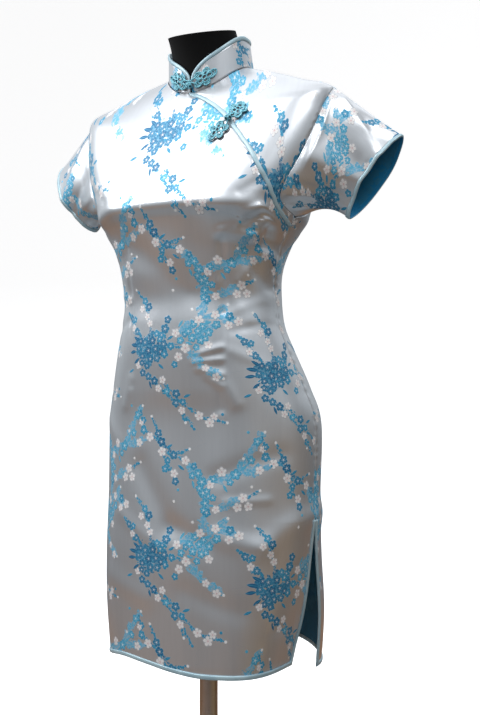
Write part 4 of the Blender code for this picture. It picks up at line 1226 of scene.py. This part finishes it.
def makeSleeve(side, middle, tall, deep, backShare):
    # the sleeve up to its binding, and the binding as the last stretch of the same surface
    word = "Left" if side > 0 else "Right"
    around = sleeve["around"]
    points, startNormals, length = sleeveSurface(side, middle, tall, deep, backShare, around)
    order = np.roll(np.arange(around)[::side], around // 2)  # from the underarm round
    band = dress["bindWidth"] / length
    bodyEnd = 1 - band - (dress["seamGap"] - sleeve["tuck"]) / length
    share = np.linspace(0, 1, sleeve["along"])
    share = share - 0.5 * np.sin(math.pi * share) * (1 - share) / math.pi  # closer at the armhole
    grid = points(share[:, None] * bodyEnd)[:, order]
    normals = gridNormals(grid, True)
    normals[0] = startNormals[order]
    near = np.exp(-((share[:, None] * sleeve["length"] / sleeve["edgeReach"]) ** 2))
    outer = grid - normals * (sleeve["edge"] * near)[..., None]
    inner = outer - normals * dress["cloth"]
    cloth = sleeveFlat(goneRound(grid), sleeve["origin"][word])
    thing = shell("sleeve" + word, outer, inner, (brocade, litSleeveReverse), closed=True, cloth=cloth)
    dressed(thing, ("sleeve_" + word.lower(),))
    strip = points(1 - band * np.linspace(1, 0, binding["across"])[:, None])[:, order]
    name, nodes = "cuffBinding" + word, ("cuff_binding_" + word.lower(),)
    return thing, bindingStrip(name, nodes, strip, gridNormals(strip, True), True, inside=reverseEdge)


sleeves = [makeSleeve(*row) for row in sleeve["cuffs"]]
print("sleeves set in")

# Collar: a stand band with a V at the middle front

collar = {
    "height": 0.040,
    "skew": 0.05,  # rise of the rim towards the wearer's left
    "front": 0.015,
    "round": math.radians(30),
    "gap": math.radians(1.2),
    "lean": 0.006,
    "close": 0.003,
    "wall": 0.0020,
    "bindWall": 0.0030,
    "tuck": 0.0008,  # height of the band hidden under its binding
    "lowest": 0.0035,  # least height of the band below its binding
    "frontTurn": math.radians(38),  # the points stand closer together as far as this
    "points": (40, 96, 16),  # round each front, round the rest, up the band
    "origin": (-0.055, -0.315),
}
neckHalf = section("half", dress["neckRow"])


def collarRim(angle):
    # low at the middle front, then rounding up to the full height
    off = np.clip(1 - np.minimum(angle, 2 * math.pi - angle) / collar["round"], 0, 1)
    rise = collar["front"] + (collar["height"] - collar["front"]) * np.sqrt(1 - off**2)
    return rise + collar["skew"] * neckHalf * np.sin(angle)


def collarPoints(angle, height):
    # the neck seam's outline, drawn in and leaned back as it rises
    share = height / collar["height"]
    foot = bodyPoints(angle, dress["neckRow"])
    middle = (section("yFront", dress["neckRow"]) + section("yBack", dress["neckRow"])) / 2
    narrow = 1 - collar["close"] * share / neckHalf
    y = middle + (foot[..., 1] - middle) * narrow - collar["lean"] * share
    return np.stack([foot[..., 0] * narrow, y, foot[..., 2] + height], axis=-1)


def makeCollar():
    # a band from the neck seam to its binding, and the binding up to the rim
    front, rest, up = collar["points"]
    near = collar["gap"] + (collar["frontTurn"] - collar["gap"]) * np.linspace(0, 1, front) ** 1.4
    far = np.linspace(near[-1], 2 * math.pi - near[-1], rest)[1:-1]
    angles = np.concatenate([near, far, 2 * math.pi - near[::-1]])
    rim = collarRim(angles)
    slope = np.gradient(rim, angles) / neckHalf
    foot = np.maximum(rim - dress["bindWidth"] * np.sqrt(1 + slope**2), collar["lowest"])
    share = np.linspace(dress["seamGap"], 1, up)[:, None]
    band = collarPoints(angles, share * (foot + collar["tuck"]))
    normals = gridNormals(band, False)
    cloth = np.stack([travelled(band[0]) + 0 * band[..., 0], band[..., 2]], axis=-1)
    cloth += collar["origin"]
    outer, inner = band - normals * dress["seamGap"], band - normals * collar["wall"]
    thing = shell("collarBand", outer, inner, (brocade, reverse), cloth=cloth)
    dressed(thing, ("collar",))
    strip = collarPoints(angles, foot + np.linspace(0, 1, binding["across"])[:, None] * (rim - foot))
    normals = gridNormals(strip, False)
    nodes, wall = ("collar_binding",), collar["bindWall"]
    return thing, bindingStrip("collarBinding", nodes, strip, normals, wall=wall)


collarBand, collarEdge = makeCollar()
print("collar stood up")

# Frog fastenings: coiled cord wings and a knotted button

frog = {
    "lift": 0.0014,
    "size": 0.0175,
    "eyelet": 0.0030,
    "reach": 0.0205,
    "root": 0.0105,  # where the ends leave the wing
    "row": 16.45,
    "turn": math.radians(16),
    "collarHeight": 0.0145,
    "collarDrop": 0.0060,
    "cord": 0.00115,  # half the cord's thickness
    "knot": 0.0052,
    "strand": 2.6,  # cord widths to one turn of its strands
    "rounds": (  # share of the petal, hole, lift, dip between petals, thickness, points
        (0.97, 0.0036, 0.0, 0.0011, 1.0, 400),
        (0.80, 0.0034, -0.0002, 0.0009, 0.85, 360),
        (0.60, 0.0030, 0.0004, 0.0010, 0.92, 300),
    ),
}


def placketFrame(row):
    # body points from distances across and along the placket, from its point at that row
    angle = float(placketAngle(row))
    step = 0.01
    origin = bodyPoints(angle, row)
    turn = (bodyPoints(angle + step, row) - bodyPoints(angle - step, row)) / (2 * step)
    rise = (bodyPoints(angle, row + step) - bodyPoints(angle, row - step)) / (2 * step)
    nextAngle = float(placketAngle(row + step))
    along = unit(bodyPoints(nextAngle, row + step) - origin)
    outward = unit(np.cross(turn, rise))
    across = np.cross(along, outward)
    toRows = np.linalg.pinv(np.stack([turn, rise], axis=1))

    def place(u, v):
        # both distances turned into changes of angle and row
        change = (u[..., None] * across + v[..., None] * along) @ toRows.T
        return bodyPoints(angle + change[..., 0], row + change[..., 1])

    return place


def turnFlat(x, y, angle):
    # flat places turned round their middle
    cosine, sine = math.cos(angle), math.sin(angle)
    return x * cosine - y * sine, x * sine + y * cosine


def onCollar(across, up):
    # collar points from distances round from the middle front and up
    angle = across / neckHalf % (2 * math.pi)
    return collarPoints(angle, up + frog["collarHeight"])


placketPlace = placketFrame(frog["row"])


def onPlacket(across, along):
    # placket points, with the frog turned off the placket's line
    return placketPlace(*turnFlat(across, along, frog["turn"]))


def placeNormals(place, u, v, step=0.0004):
    # the cross product of small steps along both distances
    across = place(u + step, v) - place(u - step, v)
    along = place(u, v + step) - place(u, v - step)
    return unit(np.cross(across, along))


def tubeGrid(path, normals, radius, closed, sides=12):
    # circles square to the path, with the normals as their upright
    if closed:
        ahead = np.roll(path, -1, axis=0) - np.roll(path, 1, axis=0)
    else:
        ahead = np.gradient(path, axis=0)
    ahead = unit(ahead)
    side = unit(np.cross(ahead, normals))
    upright = np.cross(side, ahead)
    turn = onceRound(sides)[None, :, None]
    width = np.broadcast_to(radius, (len(path),))[:, None, None]
    ring = side[:, None] * np.cos(turn) + upright[:, None] * np.sin(turn)
    return path[:, None] + ring * width


def shrunk(ring, share):
    # a ring of points drawn towards its middle
    middle = ring.mean(axis=1, keepdims=True)
    return middle + (ring - middle) * share


def cordMesh(name, tubes, node):
    # tubes are (grid, closed, width); each open one is drawn to a point at both ends
    points, quads, places = [], [], []
    count = 0
    for grid, closed, width in tubes:
        rows, sides = grid.shape[:2]
        if not closed:
            first, last = shrunk(grid[:1], 0.05), shrunk(grid[-1:], 0.05)
            grid = np.concatenate([first, grid, last])
            rows += 2
        index = goneRound(count + numbered(rows, sides))
        along = travelled(grid.mean(axis=1)) / (width * frog["strand"])
        if closed:
            index = np.concatenate([index, index[:1]])
            along = np.concatenate([along, [np.round(along[-1] + 1)]])
        turn = np.linspace(0, 1, sides + 1)
        flat = np.stack(np.broadcast_arrays(along[:, None], turn), axis=-1)
        points.append(grid.reshape(-1, 3))
        quads.append(gridCorners(index, True))
        places.append(gridCorners(flat, True))
        count += rows * sides
    thing = makeMesh(name, np.concatenate(points), np.concatenate(quads), (cordSatin,))
    layer = thing.data.uv_layers.new(name="cord")
    layer.data.foreach_set("uv", np.concatenate(places).astype(np.float32).ravel())
    return dressed(thing, (node,))


def petalLine(size, share, hole, count):
    # five petals round an eyelet: between hole and the lobed edge, by the root of the cosine
    around = onceRound(count)
    fifth = 2 * math.pi / 5
    off = (around + fifth / 2) % fifth - fifth / 2
    edge = size * (0.91 + 0.12 * np.cos(2 * (around - off)))
    petal = np.clip(np.cos(2.5 * off), 0, 1) ** 0.55
    radius = hole + (edge * share - hole) * petal
    return radius * np.cos(around), 0.9 * radius * np.sin(around), petal


def frogWing(name, node, place, reach, turn):
    # three rounds of petals one inside another, an eyelet, and two ends that run in to the knot
    radius = frog["cord"]
    tubes = []

    def lay(x, y, height, width, closed):
        # a cord along a line in the wing's own axes, at a height over the cloth
        u, v = turnFlat(x, y, turn)
        u += reach
        normals = placeNormals(place, u, v)
        path = place(u, v) + normals * height[:, None]
        tubes.append((tubeGrid(path, normals, width, closed), closed, 2 * radius))

    base = frog["lift"] + radius
    for share, hole, lift, dip, width, count in frog["rounds"]:
        x, y, petal = petalLine(frog["size"] - radius, share, hole, count)
        lay(x, y, base + lift + dip * (1 - petal), radius * width, True)
    around = onceRound(60)
    x, y = frog["eyelet"] * np.cos(around), frog["eyelet"] * np.sin(around)
    lay(x, y, np.full(60, base + 0.0014), radius * 0.9, True)
    for side in (-1, 1):
        share = np.linspace(0, 1, 60)
        x = -frog["root"] - (frog["reach"] - frog["root"]) * share
        y = side * (0.0012 + 0.0045 * (1 - share) ** 2 - 0.0002 * share)
        height = base + 0.0010 * np.sin(math.pi * share) + 0.0015 * share
        lay(x, y, height, radius * 0.95, False)
    return cordMesh(name, tubes, node)


def onBall(lon, lat):
    # directions from longitude and latitude
    level = np.cos(lat)
    return np.stack([level * np.cos(lon), level * np.sin(lon), np.sin(lat) + 0 * lon], axis=-1)


def frogKnot(name, node, place, drop):
    # a cord wound over and under itself on a ball
    half = 0.001
    across, up = np.meshgrid([-half, half], [-half, half])
    square = place(across, up - drop)
    outward = unit(gridNormals(square, False).mean(axis=(0, 1)))
    centre = square.mean(axis=(0, 1)) + outward * (frog["knot"] + frog["lift"])
    side = unit(np.cross((0.0, 0.0, 1.0), outward))
    rise = np.cross(outward, side)
    axes = np.stack([side, rise, outward])
    turn = onceRound(720)
    out = onBall(3 * turn, 1.15 * np.sin(4 * turn)) @ axes
    radius = frog["cord"] * 0.92
    path = centre + out * (frog["knot"] - radius - 0.0004 + 0.0004 * np.cos(7 * turn))[:, None]
    tubes = [(tubeGrid(path, out, radius, True, 10), True, 2 * radius)]
    lats = np.linspace(-math.pi / 2 + 0.05, math.pi / 2 - 0.05, 14)
    ball = centre + onBall(onceRound(20), lats[::-1, None]) @ axes * (frog["knot"] - 1.7 * radius)
    tubes.append((ball, False, 2 * radius))
    return cordMesh(name, tubes, node)


def makeFrog(name, node, place, drop):
    # two wings turned away from each other, and the knot between them
    return [
        frogWing(name + "Left", node + "_left", place, frog["reach"], 0.0),
        frogWing(name + "Right", node + "_right", place, -frog["reach"], math.pi),
        frogKnot(name + "Knot", node + "_knot", place, drop),
    ]


frogs = makeFrog("collarFrog", "collar_frog", onCollar, frog["collarDrop"])
frogs += makeFrog("placketFrog", "placket_frog", onPlacket, 0.0)
print("frogs tied")

# Dress form and stand

form = {
    "ease": 0.0070,
    "pinch": 0.022,  # how far the form stays inside the sleeves
    "armRow": 11.6,  # the pinch starts here and runs over so many rows
    "armRows": 6.6,
    "floorRow": 3.35,  # row of the form's sole
    "floorEdge": 0.010,
    "floorInset": 0.10,  # share by which the sole draws in at its rounded edge
    "neckRadius": 0.047,
    "neckTop": 0.863,  # above the hem
    "neckLean": 0.030,
    "neckSlant": math.radians(15),
    "sides": 128,
    "rows": (70, 36, 16),  # rings up to the underarm, the shoulder tip and the neck seam
    "neckRows": 17,
    "pole": 0.0125,
    "flange": 0.038,
    "flangeThick": 0.008,
    "base": 0.150,
    "baseThick": 0.012,
    "baseEdge": 0.004,
}


def capped(name, rings, materials, node, sharp=None):
    # a closed solid through rings that run upwards; each end closes on its middle point
    low = [shrunk(rings[:1], share) for share in (0.001, 0.5)]
    high = [shrunk(rings[-1:], share) for share in (0.5, 0.001)]
    grid = np.concatenate([*low, rings, *high])
    corners = gridCorners(goneRound(numbered(*grid.shape[:2])), False)
    thing = makeMesh(name, grid.reshape(-1, 3), corners, materials, sharp=sharp)
    return dressed(thing, (node,))


def formTorso():
    # the body's outline drawn in by the ease, without arms, on a rounded sole; the neck's rings
    # pass from the neck seam's outline to a circle
    angles = onceRound(form["sides"])
    stops = (form["floorRow"], dress["underarmRow"], dress["tipRow"], dress["neckRow"])
    spans = [np.linspace(*span)[1:] for span in zip(stops, stops[1:], form["rows"])]
    rows = np.concatenate([stops[:1], *spans])
    outside = bodyPoints(angles, rows[:, None])
    rings = outside - gridNormals(outside, True) * form["ease"]
    arm = (rows - form["armRow"]) / form["armRows"]
    narrow = np.sin(math.pi * np.clip(arm, 0, 1)) ** 2 * form["pinch"]
    rings[..., 0] *= 1 - narrow[:, None] / section("half", rows)[:, None]
    sole = []
    for share in (1.0, 0.55, 0.15):
        ring = rings[:1].copy()
        inset = form["floorInset"] * (1 - math.sqrt(1 - share**2))
        level = ring[..., :2]
        ring[..., :2] = level * (1 - inset) + level.mean(axis=1, keepdims=True) * inset
        ring[..., 2] -= form["floorEdge"] * share
        sole.append(ring)
    foot = rings[-1]
    topY = foot[:, 1].mean() - form["neckLean"]
    slant = math.tan(form["neckSlant"])
    circle = np.stack([np.sin(angles), -np.cos(angles), -np.cos(angles) * slant], axis=-1)
    top = circle * form["neckRadius"] + (0.0, topY, form["neckTop"] + dress["hem"])
    neck = []
    for share in np.linspace(0, 1, form["neckRows"])[1:]:
        ring = foot + (top - foot) * (1 - (1 - share) ** 2)
        ring[:, 1] += form["neckLean"] * (1 - (1 - share) ** 2 - share**1.5)
        ring[:, 2] = foot[:, 2] + (top[:, 2] - foot[:, 2]) * share
        neck.append(ring)
    rings = np.concatenate([*sole, rings, neck])
    return capped("formTorso", rings, (formBlack,), "form_torso", 40)


def turned(name, node, profile, sides=96):
    # a profile of radius and height turned round the pole's axis
    turn = onceRound(sides)
    radius, height = np.array(profile).T[:, :, None]
    rings = np.stack([radius * np.cos(turn), radius * np.sin(turn), height + 0 * turn], axis=-1)
    return capped(name, rings, (steel,), node, 35)


def roundEdge(radius, height, inset, up, steps=6):
    # a quarter round where a wall meets a flat face; up is 1 for a top edge and -1 for a bottom
    turns = np.linspace(0, math.pi / 2, steps)[::up]
    middle = radius - inset, height - up * inset
    return [(middle[0] + inset * math.cos(t), middle[1] + up * inset * math.sin(t)) for t in turns]


def makeStand():
    # a plate and a flange with rounded edges, and the pole between them
    floor = float(section("side", form["floorRow"])) + dress["hem"] - form["floorEdge"]
    top = floor - dress["seamGap"]
    low = top - form["flangeThick"]
    base = roundEdge(form["base"], 0.0, 0.0008, -1)
    base += roundEdge(form["base"], form["baseThick"], form["baseEdge"], 1, 12)
    pole = [(form["pole"], z) for z in (form["baseThick"] + dress["seamGap"], low - dress["seamGap"])]
    flange = roundEdge(form["flange"], low, 0.0015, -1) + roundEdge(form["flange"], top, 0.0010, 1)
    turned("standBase", "base", base, 160)
    turned("standPole", "pole", pole)
    turned("standFlange", "flange", flange)


torso = formTorso()
makeStand()
print("form and stand made")
# Floor, backdrop and lights

studio = {
    "floor": (0.90, 0.90, 0.90),
    "floorGlow": 0.60,
    "room": (  # height of direction from -1 to 1, and colour
        (-1.0, (0.250, 0.285, 0.310)),
        (-0.54, (0.250, 0.265, 0.275)),
        (-0.38, (0.310, 0.145, 0.046)),
        (-0.26, (0.320, 0.138, 0.034)),
        (-0.17, (0.112, 0.112, 0.118)),
        (-0.08, (0.120, 0.120, 0.122)),
        (0.00, (0.255, 0.275, 0.290)),
        (0.12, (0.400, 0.440, 0.460)),
        (0.34, (0.580, 0.620, 0.650)),
        (1.00, (0.900, 0.920, 0.950)),
    ),
    "warmCorner": (0.300, 0.175, 0.070),
    "roomScale": 1.7,  # size of the light and dark patches round the room
    "roomContrast": 1.1,
    "backdrop": (0.92, 0.92, 0.92),
    "back": 2.6,  # where the floor starts to curve up
    "bend": 1.2,
    "lights": {  # power, size, place, aim, colour, spread in degrees
        "key": (7.5, (1.6, 1.1), (-0.40, -1.10, 2.15), (0, 0, 1.15), (1, 1, 1), 90),
        "window": (5.2, (1.3, 1.1), (-1.75, -0.75, 1.85), (0, 0, 1.05), (0.96, 0.98, 1.0), 90),
        "fill": (2.8, (1.2, 1.2), (1.7, -0.8, 2.4), (0.25, 0, 0.95), (1, 1, 1), 80),
        "floorWash": (16, (3.0, 3.0), (0.0, 1.0, 3.2), (0, 0.6, 0), (1, 1, 1), 180),
    },
}


def makeFloor():
    # a sweep: the floor runs back and curves up into a wall
    turn = np.linspace(0, math.pi / 2, 24)
    back, bend = studio["back"], studio["bend"]
    curve = np.stack([back + bend * np.sin(turn), bend - bend * np.cos(turn)], axis=-1)
    line = np.concatenate([[(-6.0, 0.0), (-1.0, 0.0), (1.8, 0.0)], curve, [(back + bend, 5.0)]])
    grid = np.stack(np.broadcast_arrays(np.linspace(-6, 6, 13), line[:, :1], line[:, 1:]), axis=-1)
    glow = {"Emission_Color": (1, 1, 1), "Emission_Strength": studio["floorGlow"]}
    paper, _, _ = newMaterial("paleFloor", 0.8, Base_Color=studio["floor"], **glow)
    corners = gridCorners(numbered(*grid.shape[:2]), False)
    thing = makeMesh("floor", grid.reshape(-1, 3), corners, (paper,))
    thing.visible_glossy = False
    thing.visible_diffuse = False


makeFloor()


def softLight(name, power, size, place, aim, colour, spread):
    # a square lamp turned from its place towards its aim
    data = bpy.data.lights.new(name, "AREA")
    data.shape = "RECTANGLE"
    data.size, data.size_y = size
    data.energy = power
    data.color = colour
    data.spread = math.radians(spread)
    lookFrom(name, data, place, Vector(aim) - Vector(place))


for name, row in studio["lights"].items():
    softLight(name, *row)


def makeWorld():
    # a room's light by height of direction: warm and dim below, pale above, with slow patches;
    # plain white where the camera looks past the dress
    world = bpy.data.worlds.new("studio")
    scene.world = world
    world.use_nodes = True
    tree = world.node_tree
    direction = Value(addNode(tree, "TexCoord", {})["Generated"])
    sideways, _, up = split(direction)
    stops = [((height + 1) / 2, colour) for height, colour in studio["room"]]
    room = colourStops(up * 0.5 + 0.5, stops)
    patches = (noise(direction, studio["roomScale"], 1.0) - 0.5) * (studio["roomContrast"] * 2) + 1.0
    dim = sideways.ramp(0.20, 0.90) * up.ramp(0.50, 0.15)
    patches = patches.larger(0.25) * (dim * -0.35 + 1.0)
    warm = sideways.ramp(0.50, 0.90) * up.ramp(0.14, -0.16)
    room = blend(warm, room, studio["warmCorner"])
    room = Value(addNode(tree, "VectorMath", {0: room, "Scale": patches}, operation="SCALE")[0])
    seen = Value(addNode(tree, "LightPath", {})["Is Camera Ray"])
    background = tree.nodes["Background"].inputs
    feed(background["Color"], blend(seen, room, studio["backdrop"]))
    feed(background["Strength"], 1.0)


makeWorld()
print("studio lit")

scene.view_layers[0].update()
